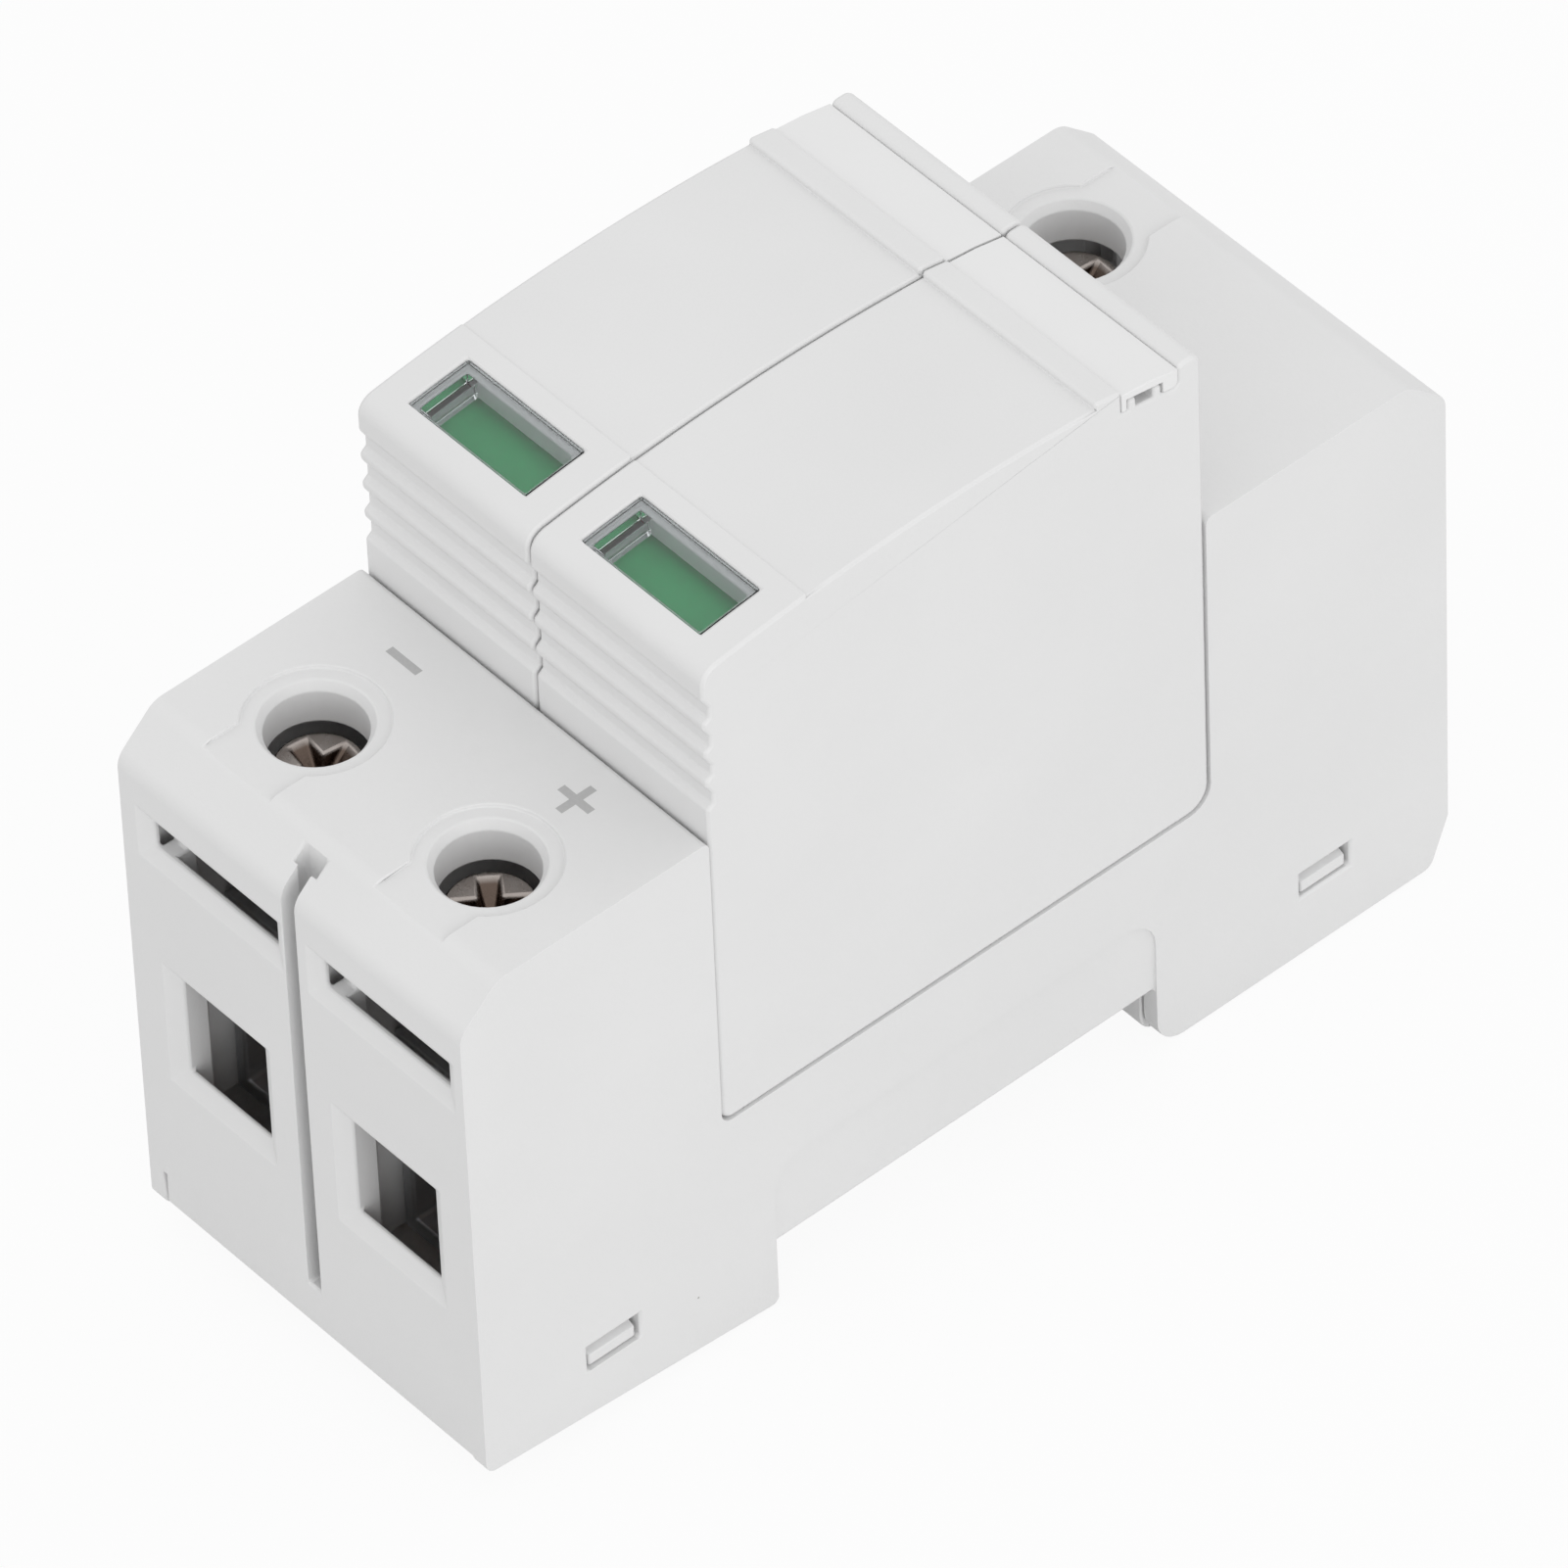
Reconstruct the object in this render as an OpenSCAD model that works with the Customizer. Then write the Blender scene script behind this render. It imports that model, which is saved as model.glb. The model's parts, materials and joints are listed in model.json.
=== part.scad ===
// DIN rail surge arrester: a two pole base with screw terminals and a rail foot, and two
// plug-in modules with a varistor, a thermal trip and a status window.
// X runs across the poles, Y from the line terminals at the front (negative) to the earth
// terminal at the rear, and Z up. The origin is under the middle of the base. Millimetres.

/* [Base] */
// Pitch of the poles, the bay width of one module
pole_w = 18; // [17.6:0.1:20]
// Length of the base from front face to rear face
base_l = 90; // [88:0.5:100]
// Height of the terminal shoulders
shoulder_h = 49; // [48:0.5:56]
// Side wall of the base
base_wall = 1.6; // [1.4:0.1:1.8]
// Wall at the front face and the rear face
face_wall = 2.8; // [2.7:0.1:3.2]
// Wall between the bay and a terminal chamber
bay_wall = 1.6; // [1.2:0.1:2]
// Thickness of the bay floor
floor_t = 1.8; // [1.4:0.1:2.4]
// Length of the bevel above each end face
bevel_l = 3.5; // [2.5:0.1:4]
// Height of the bevel above each end face
bevel_h = 3.25; // [2.5:0.05:4]
// Round at both ends of the bevel
bevel_r = 2; // [0.5:0.1:3]
// Length of the sloped heel below the rear face
heel_l = 1.7; // [1:0.1:2]
// Height of the sloped heel below the rear face
heel_h = 4.2; // [3:0.1:4.5]
// Round on the sole edges
sole_r = 1; // [0.4:0.1:1.4]
// Round on the rear foot where the rail enters
toe_r = 2.5; // [1:0.1:3]

/* [Rail foot] */
// Length of the gap that takes the 35 mm rail
rail_gap = 35.5; // [35.2:0.1:36.5]
// How far the rail gap lies in front of the middle of the base
rail_shift = 0.55; // [0:0.05:1.5]
// Height of the rail gap
rail_h = 5.9; // [5.5:0.1:6.5]
// Rise of the front sole from the rail gap to the front face
sole_rise = 2.1; // [0.5:0.1:2.5]
// Reach of the rail hook and of the latch nose
hook_reach = 1.5; // [1:0.1:2]
// Width of the fixed rail hook
hook_w = 20; // [10:1:28]
// Room for the rail flange above the hook and the nose
flange_room = 1.5; // [1.2:0.1:1.8]
// Thickness of the bottom cover
cover_t = 1.6; // [1.2:0.1:1.8]
// Width of the rail latch
latch_w = 12; // [10:0.5:16]
// Way that the latch slides to let go of the rail
latch_travel = 3; // [2:0.1:3.5]

/* [Side details] */
// Length of a snap window in the side wall
snap_l = 4.8; // [4:0.1:6]
// Height of a snap window
snap_h = 2.45; // [2:0.05:3]
// Height of a snap window's lower edge
snap_z = 5.6; // [5.2:0.1:6]
// Distance of a snap window's middle from the middle of the base
snap_y = 33.2; // [31:0.1:35]
// Depth of the recessed panel above the rail gap
panel_depth = 0.25; // [0.1:0.05:0.5]
// Height of the recessed panel
panel_h = 7.8; // [6:0.1:10]
// Round at the upper corners of the recessed panel
panel_r = 3; // [1:0.1:3.5]

/* [Terminals] */
// How far a screw axis lies outside the middle of its room
term_shift = 0; // [-0.5:0.1:0.5]
// Thickness of the shoulder around a screw hole
collar_t = 2.6; // [2.2:0.1:3]
// Diameter of a screw hole
hole_d = 7.4; // [7:0.1:8]
// Diameter of the countersink of a screw hole
sink_d = 8.4; // [7.8:0.1:9]
// Depth of the countersink
sink_h = 0.7; // [0.4:0.1:1.2]
// Diameter of the shallow recess round a screw hole
ring_d = 10.5; // [9.6:0.1:12]
// Width of the shallow channel from the recess to the bevel
channel_w = 7; // [5:0.1:9]
// Depth of the recess and the channel
ring_depth = 0.3; // [0.1:0.05:0.5]
// Diameter of the terminal screw's shank
screw_d = 5; // [4:0.1:5.2]
// Diameter of the screw head
head_d = 7; // [6:0.1:7]
// Height of the screw head
head_h = 2.6; // [2:0.1:3]
// Height of the dome on the screw head
dome_h = 1.4; // [1:0.1:1.6]
// Depth of the screw head below the shoulder
head_depth = 2.8; // [2.6:0.1:4.5]
// Width of the driver slot
slot_w = 1.1; // [0.8:0.1:1.4]
// Angle that the driver slot is turned from the length of the base
slot_turn = 48; // [0:1:180]
// Width of a cage across the poles
cage_w = 12; // [11.6:0.1:12.4]
// Length of a cage
cage_l = 9; // [8:0.1:10]
// Wall of a cage
cage_wall = 1.2; // [0.8:0.1:1.4]
// Thickness of a cage's threaded top
cage_top = 2.4; // [2:0.1:2.8]
// How far an open cage's floor lies below the cable tunnel
cage_drop = 5; // [3:0.1:6]

/* [Openings in the end faces] */
// Thickness of an end face round its openings
skin_t = 1.1; // [1:0.1:1.5]
// Thickness of the cheeks beside a cable mouth
cheek_t = 1.65; // [1.2:0.05:1.8]
// Width of a cable mouth
entry_w = 11.5; // [11:0.1:12]
// Height of a cable mouth
entry_h = 11.9; // [11:0.1:12.5]
// Height of a cable mouth's middle above the sole
entry_z = 22.25; // [21.5:0.05:23]
// How far the cable mouth narrows on each side
entry_taper = 1.4; // [1:0.05:1.6]
// Depth over which the cable mouth narrows
entry_depth = 0.75; // [0.5:0.05:1.2]
// Width of a fork mouth
fork_w = 15.5; // [14:0.1:15.6]
// How far a fork mouth lies to the right of its pole's middle
fork_shift = 0.35; // [0:0.05:0.4]
// Height of a fork mouth
fork_h = 4.95; // [4.6:0.05:5.4]
// Depth of a fork mouth's middle below the shoulder
fork_drop = 8.9; // [8.5:0.1:10]
// How far the fork mouth narrows on each side
fork_taper = 1.25; // [1:0.05:1.5]
// Depth over which the fork mouth narrows
fork_depth = 0.65; // [0.5:0.05:1]
// Width of the barrier slot between the front terminals
barrier_w = 1.4; // [1:0.1:1.8]
// Width of the barrier slot's inner part
barrier_key_w = 2.3; // [2:0.1:2.6]
// Depth of the narrow part of the barrier slot
barrier_neck = 1.75; // [1.2:0.05:2]
// Depth of the whole barrier slot
barrier_depth = 2.85; // [2.5:0.05:3.2]
// Height of the barrier slot's lower end
barrier_z = 6.8; // [5:0.1:12]

/* [Contacts] */
// Thickness of the contact strips
strip_t = 1.5; // [1:0.1:1.8]
// Width of the contact strips
strip_w = 8.6; // [7:0.1:9]
// Height of the strips' underside below the bay
run_z = 9; // [8.4:0.1:9.6]
// Thickness of a module's plug-in blades
blade_t = 1.5; // [1:0.1:2]
// Width of a module's plug-in blades
blade_w = 8; // [6:0.1:8.4]
// Distance of the blades from the ends of the module
blade_inset = 9.5; // [9:0.1:10.5]
// Length of a blade below the module
blade_l = 9.8; // [6:0.1:10]
// Thickness of one fork jaw
jaw_t = 0.8; // [0.5:0.1:1.2]

/* [Module] */
// Length of a module
module_l = 45; // [44.6:0.1:46]
// Height of the module's lower edge above the sole
seat_h = 21.2; // [20.5:0.1:22]
// Height of a module at the top of its crown
module_h = 45.4; // [44:0.1:50]
// Radius of the crowned top
crown_r = 150; // [120:1:300]
// Side wall of a module case
case_wall = 1.4; // [1.2:0.1:1.5]
// End wall of a module case
case_end = 1.7; // [1.5:0.1:1.8]
// Thickness of a module's top
case_top = 2.5; // [2.2:0.1:2.8]
// Round between a module's front and top
brow_r = 1.5; // [1:0.1:2]
// Number of grip grooves
grip_count = 4; // [0:1:4]
// Pitch of the grip grooves
grip_pitch = 2.75; // [2.7:0.05:2.9]
// Depth of a grip groove
grip_depth = 0.5; // [0.3:0.05:0.6]
// Distance of the first groove below the brow
grip_drop = 1.1; // [0.6:0.1:1.4]
// Depth of the flat label field on the top
label_depth = 0.12; // [0.05:0.01:0.2]
// Distance of the label field from the module's front
label_inset = 9.5; // [8.5:0.1:11]
// Height of the ridge behind the label field
ridge_h = 0.45; // [0.2:0.05:0.6]
// Length of the ridge
ridge_l = 2.3; // [1.6:0.1:2.6]
// Length of the groove for the marker strip
marker_l = 5.2; // [4.5:0.1:5.4]
// Depth of the groove for the marker strip
marker_depth = 1.75; // [1.5:0.05:1.9]
// Height that the top falls over the groove's length
marker_fall = 0.85; // [0.4:0.05:1]
// Thickness of the marker strip
marker_t = 0.6; // [0.4:0.05:0.7]
// Length of the rear flange
flange_l = 2; // [1.6:0.1:2.4]
// Drop of the rear flange below the crown
flange_drop = 1.5; // [1.2:0.1:2]

/* [Window and trip] */
// Width of the window
window_w = 12.2; // [10:0.1:13]
// Length of the window
window_l = 5.5; // [4.5:0.1:5.6]
// Distance of the window's middle from the module's front
window_inset = 5; // [4.8:0.1:5.2]
// Depth of the lens below the top
lens_sink = 0.1; // [0.05:0.05:0.3]
// Thickness of the lens
lens_t = 0.8; // [0.5:0.1:1]
// Width of the leg at the lens's left end
lens_leg = 1.1; // [0.8:0.1:1.4]
// Length of that leg below the lens
lens_leg_h = 1.5; // [1:0.1:1.8]
// Ledge that carries the lens
ledge = 0.6; // [0.3:0.1:0.8]
// Distance of the trip pivot below the crown
pivot_drop = 23.1; // [22.5:0.1:24]
// Distance of the trip pivot from the module's front
pivot_inset = 7.9; // [7.6:0.1:8.2]
// Radius of the flag's face about the pivot
flag_r = 18.9; // [18:0.1:19]
// Thickness of the flag
flag_t = 0.7; // [0.5:0.1:1]
// Angle that the trip lever swings
trip_angle = 20; // [12:1:20]
// Thickness of the trip lever
lever_t = 3; // [2:0.1:3.2]
// Diameter of the lever's pin
pin_d = 2; // [1.5:0.1:2.5]
// Thickness of the varistor
varistor_t = 5.9; // [4:0.1:6]
// Height of the varistor
varistor_h = 31; // [28:0.5:31]
// Room for the trip in front of the varistor
trip_room = 7.8; // [7.6:0.1:8.4]
// Room behind the varistor
varistor_room = 1.8; // [1:0.1:3]

/* [Clearances] */
// Gap round a module in its bay
bay_gap = 0.15; // [0.1:0.05:0.25]
// Gap beside a cage in its chamber
cage_gap = 0.25; // [0.2:0.05:0.3]
// Gap round pieces that snap or slide into the base
slide_gap = 0.2; // [0.1:0.05:0.25]
// Gap between a jaw and its blade, and between a thread and its screw
contact_gap = 0.1; // [0.05:0.05:0.15]
// Gap round a pin in its bore
pin_gap = 0.05; // [0.02:0.01:0.1]
// Gap round parts set into a module case
set_gap = 0.05; // [0.02:0.01:0.1]
// Gap between pieces that are soldered, glued or pressed together
join_gap = 0.02; // [0.01:0.01:0.03]
// Gap between a module and the middle plane between the poles
pole_gap = 0.1; // [0.05:0.05:0.15]

/* [Hidden] */
$fn = 48;
arc_steps = 6;
crown_steps = 12;
over = 1;
coil_sides = 6;
coil_steps = 12;

half_w = pole_w;
half_l = base_l / 2;
half_m = module_l / 2;
pole_x = pole_w / 2;
bay_half = half_m + bay_gap;
blade_y = half_m - blade_inset;
leg_gap = 1.25;
leg_y = bay_half + bay_wall + leg_gap;
term_y = (leg_y + strip_t + half_l - face_wall) / 2 + term_shift;
floor_z = seat_h - bay_gap;
cavity_w = 2 * (half_w - base_wall);
cavity_l = 2 * (half_l - face_wall);
strip_room = 0.5;
cavity_h = run_z + strip_t + strip_room;
chamber_w = cage_w + 2 * cage_gap;
chamber_l = half_l - face_wall - bay_half - bay_wall;
chamber_y = half_l - face_wall - chamber_l / 2;
rib_w = 1.6;
rib_gap = 0.5;
rib_past = 3;
rib_rear = blade_y + rib_past;

rail_front = -rail_shift - rail_gap / 2;
rail_rear = rail_front + rail_gap;
hook_z = rail_h - flange_room;
panel_top = rail_h + panel_h;
front_lift = 0.8;
front_edge_z = sole_rise + front_lift;
seam_w = 0.15;
seam_h = 2.6;
edge_r = 0.6;
front_bay_r = 1;
rear_bay_r = 2;

cover_w = cavity_w - 2 * slide_gap;
cover_l = cavity_l - 2 * slide_gap;
tongue_wall = 1.3;
nose_inset = 0.25;
nose_reach = base_wall - nose_inset;
pillar_l = 5;
guide_wall = 1.2;
lip_reach = 0.8;
lip_t = 0.8;

latch_z = cover_t + slide_gap;
latch_t = hook_z - latch_z;
latch_inset = 0.1;
latch_rear = half_l - latch_inset;
hook_tip = 0.8;
nose_slope = 0.3;
spring_slack = 0.1;
spring_d = latch_t - spring_slack;
spring_wire = 0.45;
spring_turns = 8;
spring_z = latch_z + latch_t / 2;
spring_inset = 7;
spring_front = rail_rear + spring_inset;
spring_l = 2 * latch_travel + (spring_turns + 1) * spring_wire;
spring_room = 0.5;
post_l = 1.8;
pull_w = 6;
pull_l = 1.2;
pull_inset = 1;

tunnel_w = entry_w - 2 * entry_taper;
tunnel_h = entry_h - 2 * entry_taper;
pocket_w = 14;
pocket_drop = 3;
pocket_rise = 1.5;
slot_past = 0.9;
fork_z = shoulder_h - fork_drop;
tongue_drop = 0.3;
tongue_z = entry_z + tunnel_h / 2 - tongue_drop;
tongue_top = tongue_z + strip_t;
cage_floor = entry_z - tunnel_h / 2 - cage_drop;
roof_gap = 0.4;
cage_roof = tongue_top + roof_gap;
ridge_w = 1;
ridge_rise = 0.5;
head_top = shoulder_h - head_depth;
well_gap = 0.2;
well_z = head_top - dome_h + well_gap;
well_wall = 1.3;
screw_tip = tongue_top + set_gap;
slot_depth = 1.3;
cross_depth = 1.9;
cross_l = 4.4;
dome_r = (head_d * head_d / 4 + dome_h * dome_h) / (2 * dome_h);
tongue_gap = 2.1;
tongue_end = half_l - face_wall - tongue_gap;
fork_past = 0.5;
fork_l = blade_w + 2 * fork_past;
jaw_gap = 0.6;
jaw_h = floor_z - floor_t - jaw_gap - run_z - strip_t;
link_gap = 1;
link_y = blade_y + fork_l / 2 + link_gap;
link_l = 5;

module_w = pole_w - 2 * pole_gap;
crown_top = seat_h + module_h;
grip_z = crown_z(-half_m) - brow_r - grip_drop;
grip_ledge = 0.9;
grip_flat = 0.95;
grip_ramp = 0.4;
grip_r = 0.4;
marker_y = half_m - flange_l;
ridge_y = marker_y - marker_l;
label_rear = ridge_y - ridge_l;
label_front = -half_m + label_inset;
room_step = 1;
inner_w = module_w - 2 * case_wall;
inner_half = half_m - case_end;
marker_floor = 1.3;
marker_roof = groove_z(marker_y) - marker_floor;
marker_leg = 0.5;
marker_heel = 1.4;
marker_heel_r = 0.5;
groove_r = 0.4;
marker_sink = 0.1;
clip_w = 0.7;
clip_r = 0.3;
clip_gap = 0.15;
clip_h = marker_depth - marker_sink - marker_t - clip_gap;
marker_crest = 0.12;
flange_r = 0.9;
notch_r = 0.5;
ridge_front_r = 0.3;
ridge_rear_r = 0.2;
plate_t = 1.6;
post_w = 2;
window_y = -half_m + window_inset;
pivot_y = -half_m + pivot_inset;
pivot_z = crown_top - pivot_drop;
lever_x = 1.2;
lever_gap = 0.3;
hub_d = 6;
arm_w = 3;
foot_l = 6.6;
foot_y = pivot_y + foot_l;
foot_drop = 9;
foot_z = pivot_z - foot_drop;
foot_h = 4;
lug_l = 1.2;
boss_wall = 1.3;
rib_t = 1.4;
trip_spring_l = 6.4;
trip_spring_past = 0.2;
trip_spring_d = lever_t + 2 * trip_spring_past;
trip_wire = 0.5;
trip_turns = 6;
varistor_x = -blade_t / 2 - join_gap;
varistor_lift = 5.8;
varistor_z = seat_h + varistor_lift;
varistor_front = -inner_half + trip_room;
varistor_rear = inner_half - varistor_room;
varistor_r = 4;
inner_blade_h = 4.8;
earth_blade_h = 12.8;
blade_r = 1;
solder_strip = 0.6;
solder_w = 3;
bend_lift = 1;
bend_h = 3;
bend_slant = 0.2;
rest_gap = 0.1;
flag_gap = 0.4;
flag_w = window_w - 2 * flag_gap;
flag_rear = 2;
flag_front = trip_angle - flag_rear;
swing = flag_r * sin(trip_angle);
flag_sides = 96;
status_drop = 2.6;
status_t = 0.8;

// Helpers for outlines

function flat(p) = [p[0], p[1]];
function unit(v) = v / norm(v);
function bearing(v) = atan2(v[1], v[0]);
function turn(a) = a > 180 ? a - 360 : a < -180 ? a + 360 : a;

// Points of the arc of radius r that replaces corner b between a and c
function corner(a, b, c, r) = r == 0 ? [b] :
    let (
        u = unit(a - b),
        v = unit(c - b),
        half = acos(u * v) / 2,
        m = b + unit(u + v) * r / sin(half),
        start = bearing(b + u * r / tan(half) - m),
        sweep = turn(bearing(b + v * r / tan(half) - m) - start)
    )
    [for (i = [0:arc_steps])
        m + r * [cos(start + sweep * i / arc_steps), sin(start + sweep * i / arc_steps)]];

// Outline through corners [y, z, radius]
function rounded(p) = let (n = len(p))
    [for (i = [0:n - 1])
        each corner(flat(p[(i + n - 1) % n]), flat(p[i]), flat(p[(i + 1) % n]), p[i][2])];

// Height of the crowned module top, and of the front foot's sole
function crown_z(y) = crown_top - crown_r + sqrt(crown_r * crown_r - y * y);
function sole_z(y) = sole_rise * (rail_front - y) / (rail_front + half_l);

// Height of the sloped floor of the marker groove
function groove_z(y) = crown_z(ridge_y) - marker_depth - marker_fall * (y - ridge_y) / marker_l;

// Points on the crown from y0 to y1, lowered by drop
function crown_line(y0, y1, drop) =
    [for (i = [0:crown_steps])
        let (y = y0 + (y1 - y0) * i / crown_steps) [y, crown_z(y) - drop, 0]];

// Outline of one grip groove: a sloped ledge, a flat, and a short ramp back out
function grip_outline(k) =
    let (top = grip_z - k * grip_pitch, low = top - grip_ledge - grip_flat)
    [
        [-half_m, top, grip_r],
        [-half_m + grip_depth, top - grip_ledge, 0],
        [-half_m + grip_depth, low, 0],
        [-half_m, low - grip_ramp, grip_r]
    ];

// Outline of a round topped rail in the groove that a leg of the marker strip clips round
function clip_outline(y) = [
    [y + clip_w / 2, groove_z(y + clip_w / 2), 0],
    [y + clip_w / 2, groove_z(y) + clip_h, clip_r],
    [y - clip_w / 2, groove_z(y) + clip_h, clip_r],
    [y - clip_w / 2, groove_z(y - clip_w / 2), 0]
];

// Solid of width w about x, with its outline in the YZ plane
module across(w, x = 0)
    translate([x - w / 2, 0, 0]) rotate([90, 0, 90]) linear_extrude(w) children();

// Solid of length l about y, with its outline in the XZ plane
module along(l, y = 0)
    translate([0, y + l / 2, 0]) rotate([90, 0, 0]) linear_extrude(l) children();

// Block given by its middle in X and Y, its underside and its size
module block(x, y, z, size)
    translate([x - size[0] / 2, y - size[1] / 2, z]) cube(size);

// Opening into +Y at y = 0 that narrows on all four sides, then runs on as a tunnel
module mouth(w, h, taper, depth, tunnel) {
    lead = over * taper / depth;
    intersection() {
        across(2 * w) polygon([
            [-over, -h / 2 - lead], [-over, h / 2 + lead], [depth, h / 2 - taper], [depth, -h / 2 + taper]
        ]);
        translate([0, 0, -h]) linear_extrude(2 * h) polygon([
            [-w / 2 - lead, -over], [w / 2 + lead, -over], [w / 2 - taper, depth], [-w / 2 + taper, depth]
        ]);
    }
    block(0, tunnel / 2, -h / 2 + taper, [w - 2 * taper, tunnel, h - 2 * taper]);
}

// Coil spring along +Z from z = 0, of outer diameter d
module coil(d, wire, length, turns) {
    r = (d - wire) / 2;
    rings = turns * coil_steps;
    rise = (length - wire) / rings;
    points = [for (i = [0:rings], k = [0:coil_sides - 1])
        let (
            a = 360 * i / coil_steps,
            b = 360 * k / coil_sides,
            reach = r + wire / 2 * cos(b)
        )
        [reach * cos(a), reach * sin(a), wire / 2 + rise * i + wire / 2 * sin(b)]];
    sides = [for (i = [0:rings - 1], k = [0:coil_sides - 1])
        let (next = (k + 1) % coil_sides, low = i * coil_sides, high = low + coil_sides)
        [low + k, high + k, high + next, low + next]];
    ends = [
        [for (k = [0:coil_sides - 1]) k],
        [for (k = [0:coil_sides - 1]) (rings + 1) * coil_sides - 1 - k]
    ];
    polyhedron(points, concat(sides, ends), convexity = 10);
}

// Base shell

base_outline = rounded([
    [-half_l, sole_rise, sole_r],
    [rail_front, 0, edge_r],
    [rail_front, rail_h, 0],
    [rail_rear, rail_h, 0],
    [rail_rear, 0, toe_r],
    [half_l - heel_l, 0, sole_r],
    [half_l, heel_h, sole_r],
    [half_l, shoulder_h - bevel_h, bevel_r],
    [half_l - bevel_l, shoulder_h, bevel_r],
    [bay_half, shoulder_h, edge_r],
    [bay_half, floor_z, rear_bay_r],
    [-bay_half, floor_z, front_bay_r],
    [-bay_half, shoulder_h, edge_r],
    [-half_l + bevel_l, shoulder_h, bevel_r],
    [-half_l, shoulder_h - bevel_h, bevel_r]
]);

panel_outline = rounded([
    [rail_front, rail_h - over, 0],
    [rail_rear, rail_h - over, 0],
    [rail_rear, panel_top, panel_r],
    [rail_front, panel_top, panel_r]
]);

// Open room between the side walls, with the rib between the poles left standing
module base_cavity() {
    room_top = floor_z - floor_t;
    difference() {
        union() {
            block(0, 0, -over, [cavity_w, cavity_l, cavity_h + over]);
            block(0, 0, 0, [cavity_w, 2 * bay_half, room_top]);
        }
        block(0, (rib_rear - bay_half) / 2, rail_h + cover_t + rib_gap,
            [rib_w, rib_rear + bay_half, room_top]);
    }
}

// Rooms for cage and screw at both ends of both poles, with the driver wells left standing
module chambers() difference() {
    for (x = [-pole_x, pole_x], y = [-chamber_y, chamber_y])
        block(x, y, cavity_h - over,
            [chamber_w, chamber_l, shoulder_h - collar_t - cavity_h + over]);
    for (place = [[-pole_x, -term_y], [pole_x, -term_y], [-pole_x, term_y]])
        translate([place[0], place[1], well_z])
            cylinder(d = hole_d + 2 * well_wall, h = shoulder_h - well_z);
}

// Screw hole, recess, mouths and pocket of one front terminal
module terminal_cuts(x) {
    translate([x, -term_y, 0]) {
        translate([0, 0, well_z - over]) cylinder(d = hole_d, h = shoulder_h - well_z + 2 * over);
        translate([0, 0, shoulder_h - ring_depth - sink_h])
            cylinder(d1 = hole_d, d2 = sink_d, h = sink_h);
        translate([0, 0, shoulder_h - ring_depth]) {
            cylinder(d = ring_d, h = over);
            block(0, (term_y - half_l) / 2, 0, [channel_w, half_l - term_y, over]);
        }
    }
    translate([x, -half_l, entry_z]) mouth(entry_w, entry_h, entry_taper, entry_depth, face_wall + over);
    translate([x + fork_shift, -half_l, fork_z])
        mouth(fork_w, fork_h, fork_taper, fork_depth, skin_t + slot_past);
    face_pocket(x);
}

// Room behind the thin face of one front terminal, with two cheeks left standing in it: the left one
// reaches past the fork mouth, the right one ends below it
module face_pocket(x) {
    low = entry_z - tunnel_h / 2 - pocket_drop;
    height = fork_z + fork_h / 2 - fork_taper + pocket_rise - low;
    depth = face_wall - skin_t + over;
    right_h = fork_z - fork_h / 2 + fork_taper - pocket_rise - low;
    difference() {
        block(x, -half_l + skin_t + depth / 2, low, [pocket_w, depth, height]);
        for (cheek = [[-1, height + 2 * over], [1, right_h]])
            block(x + cheek[0] * (tunnel_w + cheek_t) / 2, -half_l + face_wall / 2, low - over,
                [cheek_t, face_wall, cheek[1]]);
    }
}

// Slot that takes an insulating barrier between the front terminals
module barrier_slot() {
    height = shoulder_h;
    block(0, -half_l + barrier_neck / 2 - over / 2, barrier_z, [barrier_w, barrier_neck + over, height]);
    block(0, -half_l + (barrier_neck + barrier_depth) / 2, barrier_z,
        [barrier_key_w, barrier_depth - barrier_neck, height]);
}

// Slots in the bay floor for the blades of both modules
module blade_slots()
    for (x = [-pole_x, pole_x], y = [-blade_y, blade_y])
        block(x, y, floor_z - floor_t - over,
            [blade_t + 2 * slide_gap, blade_w + 2 * slide_gap, floor_t + 2 * over]);

// Snap windows and recessed panels in both side walls
module side_cuts()
    for (x = [-half_w, half_w]) {
        for (y = [-snap_y, snap_y])
            block(x, y, snap_z, [2 * base_wall + over, snap_l, snap_h]);
        across(2 * panel_depth, x) polygon(panel_outline);
    }

// Raised lower edge of the front wall with its seam, and the way out for the latch
module foot_cuts() {
    front_l = face_wall + 2 * over;
    block(0, -half_l + face_wall / 2, -over, [cavity_w, front_l, front_edge_z + over]);
    block((seam_w - cavity_w) / 2, -half_l, 0, [seam_w, 2 * over, front_edge_z + seam_h]);
    block(0, half_l - face_wall / 2, -over,
        [latch_w + 4 * slide_gap, face_wall + 2 * over, hook_z + 2 * slide_gap + over]);
}

module base_shell() color("gainsboro") difference() {
    across(2 * half_w) polygon(base_outline);
    base_cavity();
    chambers();
    for (x = [-pole_x, pole_x]) terminal_cuts(x);
    mirror([0, 1, 0]) terminal_cuts(-pole_x);
    barrier_slot();
    blade_slots();
    side_cuts();
    foot_cuts();
}

// Bottom cover

cover_outline = rounded([
    [-cover_l / 2, sole_z(-cover_l / 2), 0],
    [rail_front, 0, edge_r],
    [rail_front, rail_h, 0],
    [rail_rear, rail_h, 0],
    [rail_rear, 0, min(toe_r, cover_t)],
    [cover_l / 2, 0, 0],
    [cover_l / 2, cover_t, 0],
    [rail_rear + cover_t, cover_t, 0],
    [rail_rear + cover_t, rail_h + cover_t, 0],
    [rail_front - cover_t, rail_h + cover_t, 0],
    [rail_front - cover_t, cover_t, 0],
    [-cover_l / 2, sole_z(-cover_l / 2) + cover_t, 0]
]);

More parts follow.
